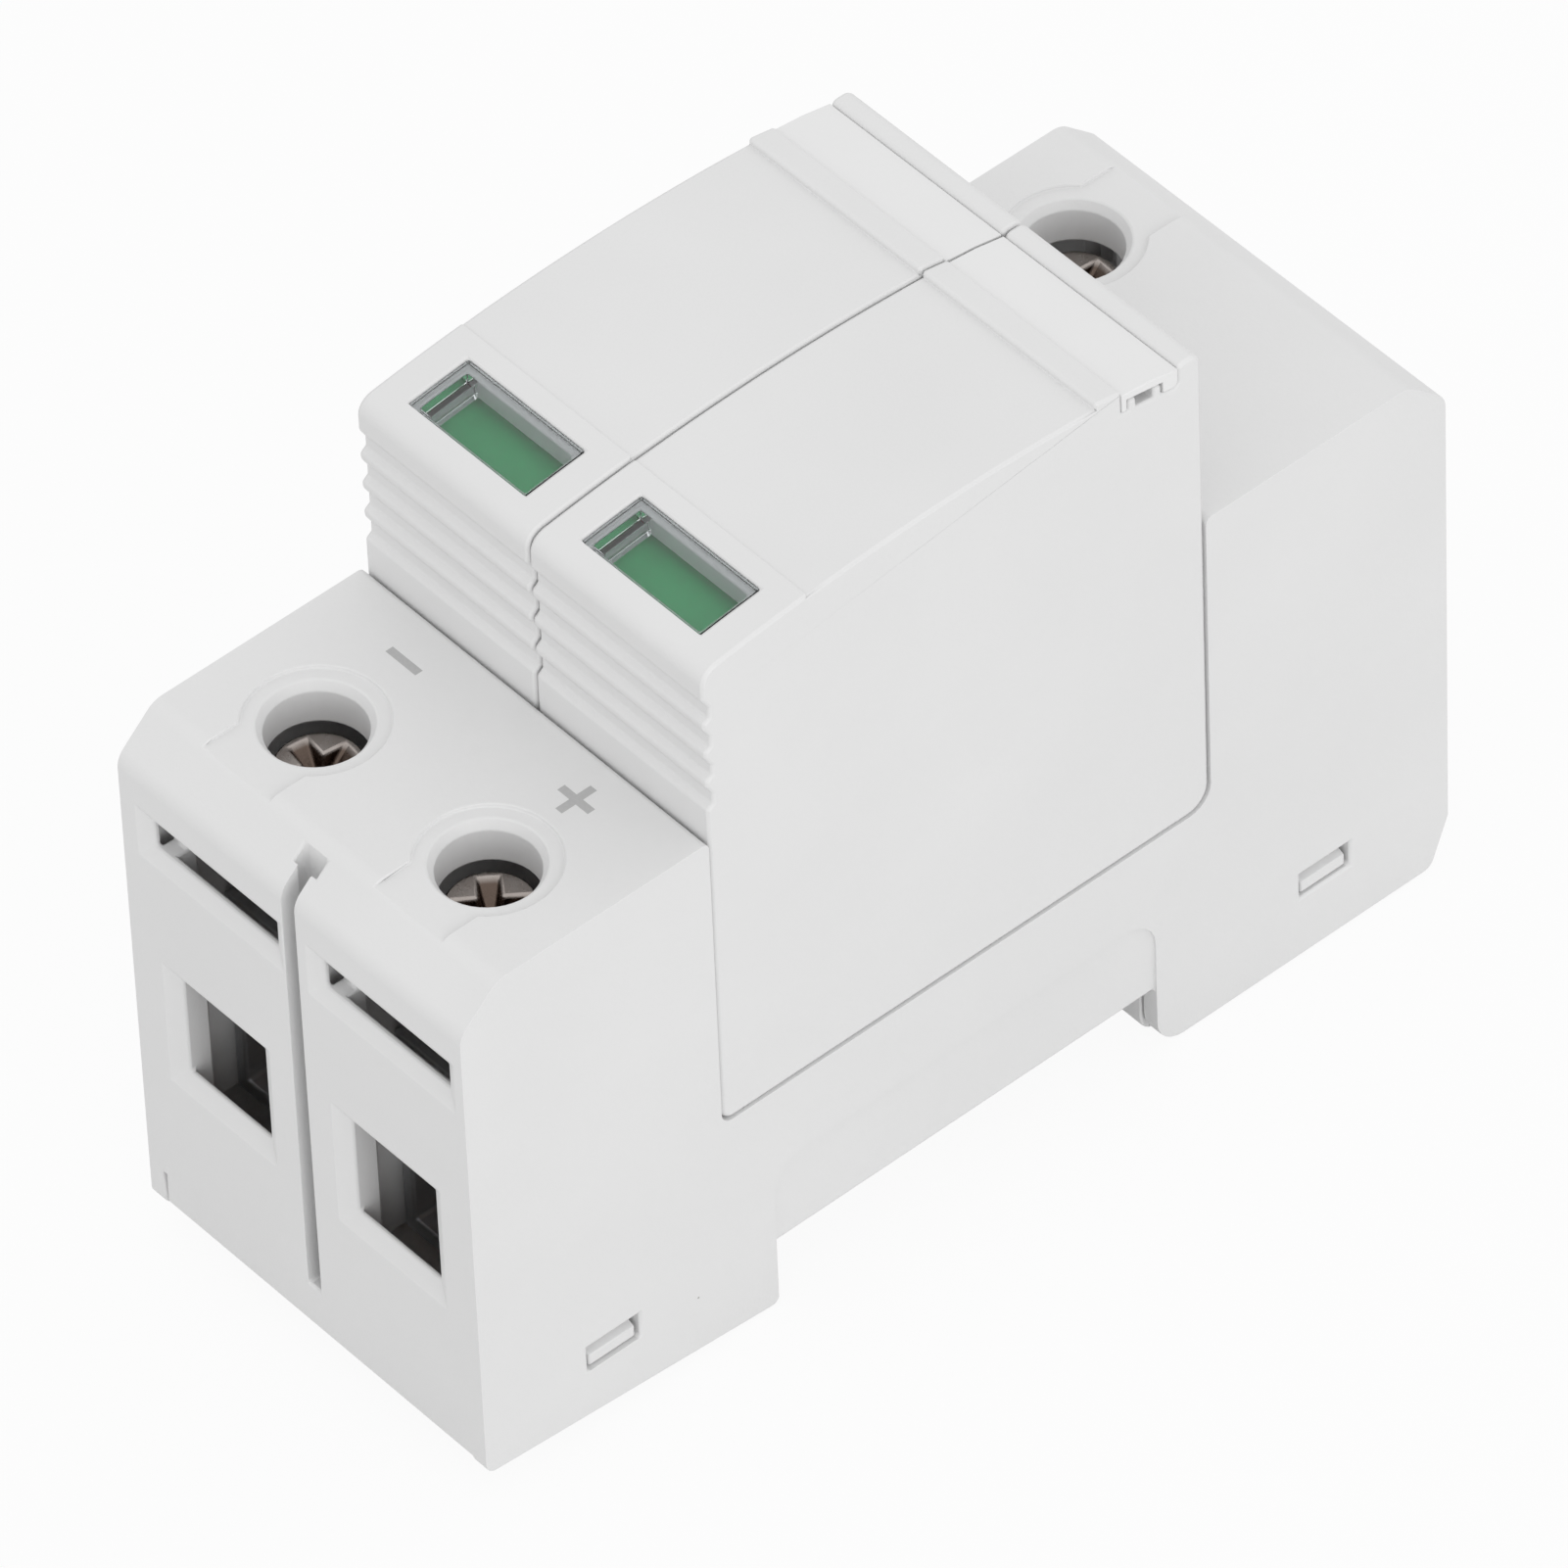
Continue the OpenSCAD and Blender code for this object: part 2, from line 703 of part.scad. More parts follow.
// Tongue on the right edge of the cover whose nose snaps into a side window
module snap_tongue(y) {
    edge = cover_w / 2;
    low = snap_z + slide_gap;
    high = snap_z + snap_h - slide_gap;
    block(edge - tongue_wall / 2, y, cover_t / 2 + max(sole_z(y), 0),
        [tongue_wall, snap_l - 3 * slide_gap, high - cover_t / 2 - max(sole_z(y), 0)]);
    along(snap_l - 3 * slide_gap, y) polygon([
        [edge - tongue_wall / 2, low],
        [edge + slide_gap + nose_reach, low],
        [edge + slide_gap + nose_reach, (low + high) / 2],
        [edge - tongue_wall / 2, high]
    ]);
}

// Guides beside the latch, with lips that hold it down
module latch_guides()
    for (side = [-1, 1]) {
        guide_y0 = rail_rear + cover_t;
        guide_l = cover_l / 2 - guide_y0;
        inner = latch_w / 2 + slide_gap;
        lip_z = hook_z + slide_gap;
        block(side * (inner + guide_wall / 2), guide_y0 + guide_l / 2, cover_t / 2,
            [guide_wall, guide_l, lip_z + lip_t - cover_t / 2]);
        block(side * inner, guide_y0 + guide_l / 2, lip_z, [2 * lip_reach, guide_l, lip_t]);
    }

module bottom_cover() color("gainsboro") difference() {
    union() {
        across(cover_w) polygon(cover_outline);
        for (y = [-snap_y, snap_y]) {
            snap_tongue(y);
            mirror([1, 0, 0]) snap_tongue(y);
        }
        for (x = [-pole_x, pole_x], y = [-blade_y, blade_y])
            block(x, y, rail_h + cover_t / 2, [strip_w, pillar_l, run_z - rail_h - cover_t / 2]);
        across(hook_w) polygon([
            [rail_front - cover_t / 2, hook_z],
            [rail_front + hook_reach, hook_z],
            [rail_front + hook_reach, hook_z - hook_tip],
            [rail_front, hook_z - hook_tip - hook_reach],
            [rail_front - cover_t / 2, hook_z - hook_tip - hook_reach]
        ]);
        latch_guides();
        block(0, spring_front + spring_l + post_l / 2, cover_t / 2,
            [spring_d, post_l, hook_z - slide_gap - cover_t / 2]);
    }
    block(0, rail_rear + cover_t / 2, cover_t,
        [latch_w + 2 * slide_gap, cover_t + 2 * over, hook_z + slide_gap - cover_t]);
}

// Rail latch and its spring

module rail_latch() color("gainsboro") difference() {
    across(latch_w) polygon([
        [rail_rear - hook_reach, hook_z],
        [rail_rear - hook_reach, hook_z - hook_tip],
        [rail_rear + nose_slope, latch_z],
        [latch_rear, latch_z],
        [latch_rear, hook_z]
    ]);
    block(0, spring_front + (spring_l + post_l + slide_gap) / 2, 0,
        [spring_d + spring_room, spring_l + post_l + slide_gap, shoulder_h]);
    block(0, half_l - pull_inset - pull_l / 2, 0, [pull_w, pull_l, shoulder_h]);
}

module latch_spring() color("silver")
    translate([0, spring_front + spring_l, spring_z]) rotate([90, 0, 0])
        coil(spring_d, spring_wire, spring_l, spring_turns);

// Clamp cages and terminal screws, drawn on the screw axis

module cage() color("silver") {
    height = cage_roof + cage_top - cage_floor + cage_wall;
    difference() {
        block(0, 0, cage_floor - cage_wall, [cage_w, cage_l, height]);
        block(0, 0, cage_floor, [cage_w - 2 * cage_wall, cage_l + 2 * over, cage_roof - cage_floor]);
        translate([0, 0, cage_roof - over])
            cylinder(d = screw_d + 2 * contact_gap, h = cage_top + 2 * over);
    }
    for (x = [-cage_w / 6, cage_w / 6])
        block(x, 0, cage_floor - cage_wall / 2, [ridge_w, cage_l, cage_wall / 2 + ridge_rise]);
}

module terminal_screw() color("rosybrown") difference() {
    union() {
        intersection() {
            translate([0, 0, head_top - head_h]) cylinder(d = head_d, h = head_h);
            translate([0, 0, head_top - dome_r]) sphere(r = dome_r);
        }
        translate([0, 0, screw_tip]) cylinder(d = screw_d, h = head_top - head_h / 2 - screw_tip);
    }
    rotate([0, 0, slot_turn]) {
        block(0, 0, head_top - slot_depth, [slot_w, 2 * head_d, slot_depth + over]);
        block(0, 0, head_top - cross_depth, [cross_l, slot_w, cross_depth + over]);
    }
}

module minus_cage() translate([-pole_x, -term_y, 0]) cage();
module plus_cage() translate([pole_x, -term_y, 0]) cage();
module earth_cage() translate([-pole_x, term_y, 0]) cage();
module minus_screw() translate([-pole_x, -term_y, 0]) terminal_screw();
module plus_screw() translate([pole_x, -term_y, 0]) terminal_screw();
module earth_screw() translate([-pole_x, term_y, 0]) terminal_screw();

// Contacts in the base, drawn for a front terminal on the pole axis

module fork(y) {
    for (side = [-1, 1])
        block(side * (blade_t / 2 + contact_gap + jaw_t / 2), y, run_z + strip_t / 2,
            [jaw_t, fork_l, jaw_h + strip_t / 2]);
}

module line_contact() color("sandybrown") {
    across(strip_w) polygon([
        [-tongue_end, tongue_z], [-tongue_end, tongue_top],
        [-leg_y, tongue_top], [-leg_y, run_z + strip_t],
        [-blade_y + fork_l / 2, run_z + strip_t], [-blade_y + fork_l / 2, run_z],
        [-leg_y - strip_t, run_z], [-leg_y - strip_t, tongue_z]
    ]);
    fork(-blade_y);
}

module minus_contact() translate([-pole_x, 0, 0]) line_contact();
module plus_contact() translate([pole_x, 0, 0]) line_contact();

module earth_busbar() {
    translate([-pole_x, 0, 0]) mirror([0, 1, 0]) line_contact();
    color("sandybrown") {
        block(0, link_y + link_l / 2, run_z, [2 * pole_x + strip_w, link_l, strip_t]);
        translate([pole_x, 0, 0]) {
            block(0, (blade_y - fork_l / 2 + link_y + link_l / 2) / 2, run_z,
                [strip_w, link_y + link_l / 2 - blade_y + fork_l / 2, strip_t]);
            fork(blade_y);
        }
    }
}

// Plug-in module, drawn on its own middle plane

case_outline = rounded(concat(
    [
        [-half_m, seat_h, front_bay_r],
        [half_m, seat_h, rear_bay_r],
        [half_m, crown_top - flange_drop, flange_r],
        [marker_y, crown_top - flange_drop, notch_r],
        [marker_y, groove_z(marker_y), groove_r],
        each clip_outline(marker_y - marker_heel - clip_gap - clip_w / 2),
        each clip_outline(ridge_y + marker_leg + clip_gap + clip_w / 2),
        [ridge_y, groove_z(ridge_y), 0],
        [ridge_y, crown_z(ridge_y) + ridge_h / 2, ridge_rear_r],
        [label_rear, crown_z(label_rear) + ridge_h, ridge_front_r]
    ],
    crown_line(label_rear, label_front, label_depth),
    crown_line(label_front, -half_m + brow_r, 0),
    [[-half_m, crown_z(-half_m), brow_r]],
    [for (k = [0:1:grip_count - 1]) each grip_outline(k)]
));

room_outline = [
    [-inner_half, seat_h - over], [inner_half, seat_h - over],
    [inner_half, marker_roof], [label_rear - room_step, marker_roof],
    for (p = crown_line(label_rear - room_step, -inner_half, case_top)) flat(p)
];

module case() color("gainsboro") {
    difference() {
        across(module_w) polygon(case_outline);
        across(inner_w) polygon(room_outline);
        block(0, window_y, crown_top - 2 * case_top - ledge,
            [window_w - 2 * ledge, window_l - 2 * ledge, 3 * case_top]);
        intersection() {
            block(0, window_y, seat_h, [window_w, window_l, module_h + over]);
            across(window_w) polygon(concat(
                [for (p = crown_line(-half_m, half_m, lens_sink + lens_t)) flat(p)],
                [[half_m, crown_top + over], [-half_m, crown_top + over]]
            ));
        }
    }
    lever_boss();
    spring_rib();
}

// Boss on the side wall that holds the lever's pin
module lever_boss() {
    boss_x = lever_x + lever_t + lever_gap;
    difference() {
        translate([boss_x, pivot_y, pivot_z]) rotate([0, 90, 0])
            cylinder(d = pin_d + 2 * boss_wall, h = module_w / 2 - case_wall / 2 - boss_x);
        translate([0, pivot_y, pivot_z]) rotate([0, 90, 0])
            cylinder(d = pin_d + 2 * join_gap, h = inner_w / 2);
    }
}

// Rib on the side wall that the trip spring leans on
module spring_rib()
    translate([lever_x, foot_y + trip_spring_l + 2 * rest_gap, foot_z - foot_h / 2])
        cube([module_w / 2 - case_wall / 2 - lever_x, rib_t, foot_h]);

module base_plate() color("whitesmoke") difference() {
    union() {
        block(0, 0, seat_h, [inner_w - 2 * set_gap, 2 * (inner_half - set_gap), plate_t]);
        for (share = [0.25, 0.75])
            block(varistor_x - varistor_t / 2,
                varistor_front + (varistor_rear - varistor_front) * share, seat_h + plate_t / 2,
                [varistor_t, post_w, varistor_z - seat_h - plate_t / 2]);
    }
    for (y = [-blade_y, blade_y])
        block(0, y, seat_h - over,
            [blade_t + 2 * set_gap, blade_w + 2 * set_gap, varistor_z]);
}

// Clear curved plate with a leg at its left end that clips into the window
module lens() color("lightcyan") {
    half = window_l / 2 - set_gap;
    leg_half = half - ledge;
    leg_drop = lens_sink + lens_t + lens_leg_h;
    leg_x = -window_w / 2 + ledge + set_gap + lens_leg / 2;
    across(window_w - 2 * set_gap) polygon([
        for (p = crown_line(window_y - half, window_y + half, lens_sink + lens_t - set_gap)) flat(p),
        for (p = crown_line(window_y + half, window_y - half, lens_sink)) flat(p)
    ]);
    across(lens_leg, leg_x) polygon([
        for (p = crown_line(window_y - leg_half, window_y + leg_half, leg_drop)) flat(p),
        for (p = crown_line(window_y + leg_half, window_y - leg_half, lens_sink + lens_t / 2)) flat(p)
    ]);
}

// Marker strip: a thin cover on a leg and a heel that clip round the rails in its groove
module marker() color("white") {
    front = ridge_y + set_gap;
    rear = marker_y - set_gap;
    leg = ridge_y + marker_leg;
    heel = marker_y - marker_heel;
    top = marker_depth - marker_sink;
    across(module_w) polygon(rounded([
        [front, groove_z(front) + top, 0],
        [front, groove_z(front) + set_gap, 0],
        [leg, groove_z(leg) + set_gap, 0],
        [leg, groove_z(leg) + top - marker_t, 0],
        [heel, groove_z(heel) + top - marker_t, 0],
        [heel, groove_z(heel) + set_gap, 0],
        [rear, groove_z(rear) + set_gap, marker_heel_r],
        [rear, groove_z(rear) + top, 0],
        [(front + rear) / 2, groove_z((front + rear) / 2) + top + marker_crest, 0]
    ]));
}

module varistor() color("royalblue")
    across(varistor_t, varistor_x - varistor_t / 2) polygon(rounded([
        [varistor_front, varistor_z, varistor_r],
        [varistor_rear, varistor_z, varistor_r],
        [varistor_rear, varistor_z + varistor_h, varistor_r],
        [varistor_front, varistor_z + varistor_h, varistor_r]
    ]));

// Blade below the module; height is how far it stands above the module's lower edge
module blade(y, height) color("silver")
    across(blade_t) polygon(rounded([
        [y - blade_w / 2, seat_h - blade_l, blade_r],
        [y + blade_w / 2, seat_h - blade_l, blade_r],
        [y + blade_w / 2, seat_h + height, 0],
        [y - blade_w / 2, seat_h + height, 0]
    ]));

module line_blade() blade(-blade_y, inner_blade_h);
module earth_blade() blade(blade_y, earth_blade_h);

// Soldered strip from the line blade to the varistor's face
module thermal_link() color("sandybrown") {
    inside = blade_t / 2 + join_gap;
    outside = inside + solder_strip;
    face = varistor_x + join_gap;
    low = seat_h + plate_t;
    bend = seat_h + inner_blade_h + bend_lift;
    high = foot_z + foot_h;
    along(solder_w, foot_y - lug_l - rest_gap - solder_w / 2) polygon([
        [inside, low + bend_slant], [outside, low + bend_slant], [outside, bend + bend_slant],
        [face + solder_strip, bend + bend_h + bend_slant], [face + solder_strip, high],
        [face, high], [face, bend + bend_h - bend_slant], [inside, bend - bend_slant]
    ]);
}

// Trip lever: hub, arm up to the flag, and a foot that leans on the thermal link
module lever() color("whitesmoke") difference() {
    union() {
        across(lever_t, lever_x + lever_t / 2) {
            translate([pivot_y, pivot_z]) circle(d = hub_d);
            intersection() {
                translate([pivot_y - arm_w / 2, pivot_z]) square([arm_w, flag_r]);
                translate([pivot_y, pivot_z]) circle(r = flag_r - flag_t - join_gap, $fn = flag_sides);
            }
            translate([pivot_y - arm_w / 2, foot_z - foot_h / 2]) square([arm_w, pivot_z - foot_z]);
            translate([pivot_y, foot_z - foot_h / 2]) square([foot_y - pivot_y, foot_h]);
        }
        translate([varistor_x + slide_gap, foot_y - lug_l, foot_z - foot_h / 2])
            cube([lever_x - varistor_x, lug_l, foot_h]);
    }
    translate([0, pivot_y, pivot_z]) rotate([0, 90, 0])
        cylinder(d = pin_d + 2 * pin_gap, h = module_w);
}

// Curved plate that swings about the pivot
module flag() color("seagreen")
    across(flag_w) intersection() {
        translate([pivot_y, pivot_z]) difference() {
            circle(r = flag_r, $fn = flag_sides);
            circle(r = flag_r - flag_t, $fn = flag_sides);
        }
        translate([pivot_y, pivot_z]) polygon([
            [0, 0],
            2 * flag_r * [sin(flag_rear), cos(flag_rear)],
            2 * flag_r * [-sin(flag_front), cos(flag_front)]
        ]);
    }

module lever_pin() color("silver")
    translate([lever_x - lever_gap, pivot_y, pivot_z]) rotate([0, 90, 0])
        cylinder(d = pin_d, h = inner_w / 2 - lever_x);

module trip_spring() color("silver")
    translate([lever_x + lever_t / 2, foot_y + rest_gap + trip_spring_l, foot_z]) rotate([90, 0, 0])
        coil(trip_spring_d, trip_wire, trip_spring_l, trip_turns);

// Red field under the flag, cut away where the lever's arm swings
module status_plate() color("firebrick") difference() {
    plate_l = pivot_y + arm_w / 2 + inner_half;
    block(0, plate_l / 2 - inner_half, pivot_z + flag_r - flag_t - status_drop,
        [inner_w - 2 * set_gap, plate_l, status_t]);
    block(lever_x + lever_t / 2, pivot_y + swing / 2, pivot_z,
        [lever_t + 2 * lever_gap, arm_w + swing + 2 * lever_gap, flag_r]);
}

module minus_bay() translate([-pole_x, 0, 0]) children();
module plus_bay() translate([pole_x, 0, 0]) children();

base_shell();
bottom_cover();
minus_contact();
plus_contact();
earth_busbar();
minus_cage();
plus_cage();
earth_cage();
minus_screw();
plus_screw();
earth_screw();
rail_latch();
latch_spring();

minus_bay() case();  // minus_case
minus_bay() base_plate();  // minus_base_plate
minus_bay() lens();  // minus_lens
minus_bay() marker();  // minus_marker
minus_bay() varistor();  // minus_varistor
minus_bay() line_blade();  // minus_line_blade
minus_bay() earth_blade();  // minus_earth_blade
minus_bay() thermal_link();  // minus_thermal_link
minus_bay() lever();  // minus_lever
minus_bay() flag();  // minus_flag
minus_bay() lever_pin();  // minus_lever_pin
minus_bay() trip_spring();  // minus_trip_spring
minus_bay() status_plate();  // minus_status_plate

plus_bay() case();  // plus_case
plus_bay() base_plate();  // plus_base_plate
plus_bay() lens();  // plus_lens
plus_bay() marker();  // plus_marker
plus_bay() varistor();  // plus_varistor
plus_bay() line_blade();  // plus_line_blade
plus_bay() earth_blade();  // plus_earth_blade
plus_bay() thermal_link();  // plus_thermal_link
plus_bay() lever();  // plus_lever
plus_bay() flag();  // plus_flag
plus_bay() lever_pin();  // plus_lever_pin
plus_bay() trip_spring();  // plus_trip_spring
plus_bay() status_plate();  // plus_status_plate
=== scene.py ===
"""Looks of the DIN rail surge arrester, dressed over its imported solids.

The solids give the shapes and the places. This script rounds their edges as a mould or a press leaves
them, turns the screws anew with their cross recesses, winds the springs and the screw threads, prints
the pole marks, gives each piece the finish of its real material, and sets the studio and the camera.
"""

import json
import logging
from dataclasses import dataclass
from enum import Enum
from math import cos, radians, sin, tan
from typing import Protocol

import bmesh
import bpy
from mathutils import Matrix, Vector


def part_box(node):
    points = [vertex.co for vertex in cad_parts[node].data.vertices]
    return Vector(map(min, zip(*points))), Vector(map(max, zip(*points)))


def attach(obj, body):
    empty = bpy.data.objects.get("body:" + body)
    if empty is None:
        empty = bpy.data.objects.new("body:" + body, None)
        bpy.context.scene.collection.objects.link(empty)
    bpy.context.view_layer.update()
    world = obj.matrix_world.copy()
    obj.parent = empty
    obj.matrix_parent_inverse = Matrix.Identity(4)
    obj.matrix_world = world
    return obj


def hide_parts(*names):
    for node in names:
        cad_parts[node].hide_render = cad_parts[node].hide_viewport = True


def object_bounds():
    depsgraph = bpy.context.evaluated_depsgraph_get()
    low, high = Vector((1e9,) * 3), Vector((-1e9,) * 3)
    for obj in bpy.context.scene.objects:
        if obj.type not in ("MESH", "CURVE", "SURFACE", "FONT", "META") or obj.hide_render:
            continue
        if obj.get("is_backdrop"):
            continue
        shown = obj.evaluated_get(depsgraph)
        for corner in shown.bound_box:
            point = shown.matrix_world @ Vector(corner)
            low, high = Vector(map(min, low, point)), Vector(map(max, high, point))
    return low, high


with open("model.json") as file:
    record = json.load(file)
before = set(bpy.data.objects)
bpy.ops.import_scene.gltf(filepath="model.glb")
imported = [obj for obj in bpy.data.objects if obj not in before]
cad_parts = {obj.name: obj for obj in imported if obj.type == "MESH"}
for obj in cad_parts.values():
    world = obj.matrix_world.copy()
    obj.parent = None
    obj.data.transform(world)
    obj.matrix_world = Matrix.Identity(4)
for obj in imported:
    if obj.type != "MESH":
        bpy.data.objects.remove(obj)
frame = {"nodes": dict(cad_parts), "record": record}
CAD_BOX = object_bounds()
MM = 0.001
LOG = logging.getLogger("surge_arrester")
WHITE = "#FFFFFF"

# An edge is sharp above the first angle, and a face's corner is acute below the second
SHARP = radians(26)
ACUTE = radians(20)
# Points nearer than the first are one, and a face is flat within the other two
MERGE_MM = 0.002
FLAT_MM = 0.0005
FLAT_ANGLE = radians(0.05)
# Decimals of a millimetre that tell two points apart
POINT_DIGITS = 4
# Room for a rounding beside an acute corner, room in metres where no edge is near, and the share used
ACUTE_ROOM_MM = 0.06
FREE_ROOM = 1.0
ROOM_SHARE = 0.34
# Cosines above which edges run alongside each other, and above which they go on into each other
ALONGSIDE = 0.85
GOES_ON = 0.8
# Share of the shorter of two edges that has to lie beside the longer
BESIDE = 0.1
# Points in a turn of a helix, and sides of a spring's wire
TURN_POINTS = 40
WIRE_SIDES = 10
# How much thicker each further bar of a mark is, so that no two of their faces lie in one plane
COAT_STEP = 0.3


class Named(Enum):
    """Options whose names start the names of their nodes."""

    @property
    def prefix(self) -> str:
        """Start of the names of this option's nodes."""
        return self.name.lower()


class Pole(Named):
    """The two poles, each with the X of its middle plane in millimetres."""

    MINUS = -9.0
    PLUS = 9.0


class Terminal(Named):
    """The three screw terminals, each with the X and Y of its screw axis in millimetres."""

    MINUS = (-9.0, -34.6)
    PLUS = (9.0, -34.6)
    EARTH = (-9.0, 34.6)


# Degrees at which the last tightening left each screw's cross
CROSS_TURNS = {Terminal.MINUS: 83.0, Terminal.PLUS: 53.0, Terminal.EARTH: 86.0}


def linear(code: str) -> tuple[float, float, float, float]:
    """Turns an sRGB hex colour into linear values.

    Args:
        code: Colour as "#RRGGBB".

    Returns:
        Red, green, blue and an alpha of 1.
    """
    parts = [int(code[i:i + 2], 16) / 255 for i in (1, 3, 5)]
    red, green, blue = (p / 12.92 if p <= 0.04045 else ((p + 0.055) / 1.055) ** 2.4 for p in parts)
    return red, green, blue, 1.0


def put(name: str, data: bpy.types.ID) -> bpy.types.Object:
    """Makes an object and links it to the scene.

    Args:
        name: Name of the object.
        data: Its mesh, lamp or camera.

    Returns:
        The object.
    """
    made = bpy.data.objects.new(name, data)
    bpy.context.scene.collection.objects.link(made)
    return made


def applied(host: bpy.types.Object) -> bpy.types.Mesh:
    """Takes an object's mesh with its modifiers applied, and removes the object.

    Args:
        host: Object to use up.

    Returns:
        The new mesh.
    """
    mesh = bpy.data.meshes.new_from_object(host.evaluated_get(bpy.context.evaluated_depsgraph_get()))
    bpy.data.objects.remove(host)
    return mesh


def add_node(tree: bpy.types.NodeTree, kind: str, inputs: dict | None = None,
             **settings: object) -> bpy.types.Node:
    """Adds a node to a tree.

    Args:
        tree: Material, world or geometry tree.
        kind: Type name of the node.
        inputs: A value, or an output socket to link, for each input by its name or index.
        settings: Attributes of the node.

    Returns:
        The new node.
    """
    node = tree.nodes.new(kind)
    for key, value in settings.items():
        setattr(node, key, value)
    for key, value in (inputs or {}).items():
        if isinstance(value, bpy.types.NodeSocket):
            tree.links.new(value, node.inputs[key])
        else:
            node.inputs[key].default_value = value
    return node


def calc(tree: bpy.types.NodeTree, operation: str,
         *values: float | bpy.types.NodeSocket) -> bpy.types.NodeSocket:
    """Adds a math node.

    Args:
        tree: Tree to add it to.
        operation: What it does.
        values: A value or an output socket for each of its inputs.

    Returns:
        Its result.
    """
    return add_node(tree, "ShaderNodeMath", dict(enumerate(values)), operation=operation).outputs[0]


def per_mm(size: float) -> float:
    """Scale of a texture on Object coordinates whose features are that many millimetres wide."""
    return 1 / (size * MM)


def noise(tree: bpy.types.NodeTree, place: bpy.types.NodeSocket, size: float,
          detail: float) -> bpy.types.NodeSocket:
    """Adds a noise texture.

    Args:
        tree: Material tree.
        place: Coordinates to read.
        size: Width of its features in millimetres.
        detail: Number of finer layers.

    Returns:
        Its values, from 0 to 1.
    """
    waves = add_node(tree, "ShaderNodeTexNoise",
                     {"Vector": place, "Scale": per_mm(size), "Detail": detail})
    return waves.outputs["Fac"]


def blend(tree: bpy.types.NodeTree, factor: bpy.types.NodeSocket, first: str | bpy.types.NodeSocket,
          second: str | bpy.types.NodeSocket) -> bpy.types.NodeSocket:
    """Adds a mix of two colours.

    Args:
        tree: Material tree.
        factor: Share of the second colour, from 0 to 1.
        first: Hex code or output socket of the first colour.
        second: Hex code or output socket of the second colour.

    Returns:
        The mixed colour.
    """
    a, b = (linear(colour) if isinstance(colour, str) else colour for colour in (first, second))
    mixed = add_node(tree, "ShaderNodeMix", {"Factor": factor, "A": a, "B": b}, data_type="RGBA")
    return mixed.outputs["Result"]


def ranged(tree: bpy.types.NodeTree, value: bpy.types.NodeSocket, low: float,
           high: float) -> bpy.types.NodeSocket:
    """Adds a map of a value onto a range.

    Args:
        tree: Material or world tree.
        value: Value from 0 to 1.
        low: What 0 becomes.
        high: What 1 becomes.

    Returns:
        The new value.
    """
    mapped = add_node(tree, "ShaderNodeMapRange", {"Value": value, "To Min": low, "To Max": high})
    return mapped.outputs["Result"]


def bumped(tree: bpy.types.NodeTree, height: bpy.types.NodeSocket, strength: float,
           lift: float) -> bpy.types.NodeSocket:
    """Adds a bump.

    Args:
        tree: Material tree.
        height: Height from 0 to 1.
        strength: How much of the bump shows.
        lift: Depth of the bump in millimetres.

    Returns:
        The normal.
    """
    bump = add_node(tree, "ShaderNodeBump",
                    {"Height": height, "Strength": strength, "Distance": lift * MM})
    return bump.outputs["Normal"]


def coat(tree: bpy.types.NodeTree, values: dict[str, object]) -> None:
    """Ends a material with a Principled surface.

    Args:
        tree: Material tree.
        values: A value or an output socket for each input of the surface by its name.
    """
    skin = add_node(tree, "ShaderNodeBsdfPrincipled", values)
    add_node(tree, "ShaderNodeOutputMaterial", {"Surface": skin.outputs["BSDF"]})


class Finish(Protocol):
    """What every finish offers: a record slot, the name of its material, and the material."""

    slot: str
    name: str

    def build(self) -> bpy.types.Material:
        """Makes the material."""


def new_material(name: str) -> tuple[bpy.types.Material, bpy.types.NodeTree, bpy.types.NodeSocket]:
    """Starts a procedural material.

    Args:
        name: Real material and how its surface was made.

    Returns:
        The material, its tree, and the Object coordinates to read.
    """
    material = bpy.data.materials.new(name)
    material.use_nodes = True
    tree = material.node_tree
    tree.nodes.clear()
    place = add_node(tree, "ShaderNodeTexCoord")
    return material, tree, place.outputs["Object"]


@dataclass(frozen=True)
class MouldedPlastic:
    """Injection moulded thermoplastic: even colour, satin, with the fine grain of the mould.

    The eye sees a faint mottle from the flow of the melt, a grain that breaks up the gloss, and a
    stray speck of dust here and there. The specks lie in cells, and only in those whose random value
    is above a limit.
    """

    slot: str
    name: str
    colour: str
    shade: str
    roughness: float
    grain_mm: float
    grain_lift: float
    gloss_swing: float = 0.06
    mottle_mm: float = 14.0
    speck_pitch_mm: float = 11.0
    speck_mm: float = 0.09
    speck_limit: float = 0.55
    speck_colour: str = "#9C9A96"
    ior: float = 1.5

    def build(self) -> bpy.types.Material:
        """Makes the material."""
        material, tree, place = new_material(self.name)
        tone = blend(tree, noise(tree, place, self.mottle_mm, 3.0), self.shade, self.colour)
        cells = add_node(tree, "ShaderNodeTexVoronoi",
                         {"Vector": place, "Scale": per_mm(self.speck_pitch_mm)})
        near = calc(tree, "LESS_THAN", cells.outputs["Distance"], self.speck_mm / self.speck_pitch_mm)
        chosen = calc(tree, "GREATER_THAN", cells.outputs["Color"], self.speck_limit)
        spotted = blend(tree, calc(tree, "MULTIPLY", near, chosen), tone, self.speck_colour)
        grain = noise(tree, place, self.grain_mm, 2.0)
        smoother, rougher = self.roughness - self.gloss_swing, self.roughness + self.gloss_swing
        coat(tree, {"Base Color": spotted, "Roughness": ranged(tree, grain, smoother, rougher),
                    "Normal": bumped(tree, grain, 1.0, self.grain_lift), "IOR": self.ior})
        return material


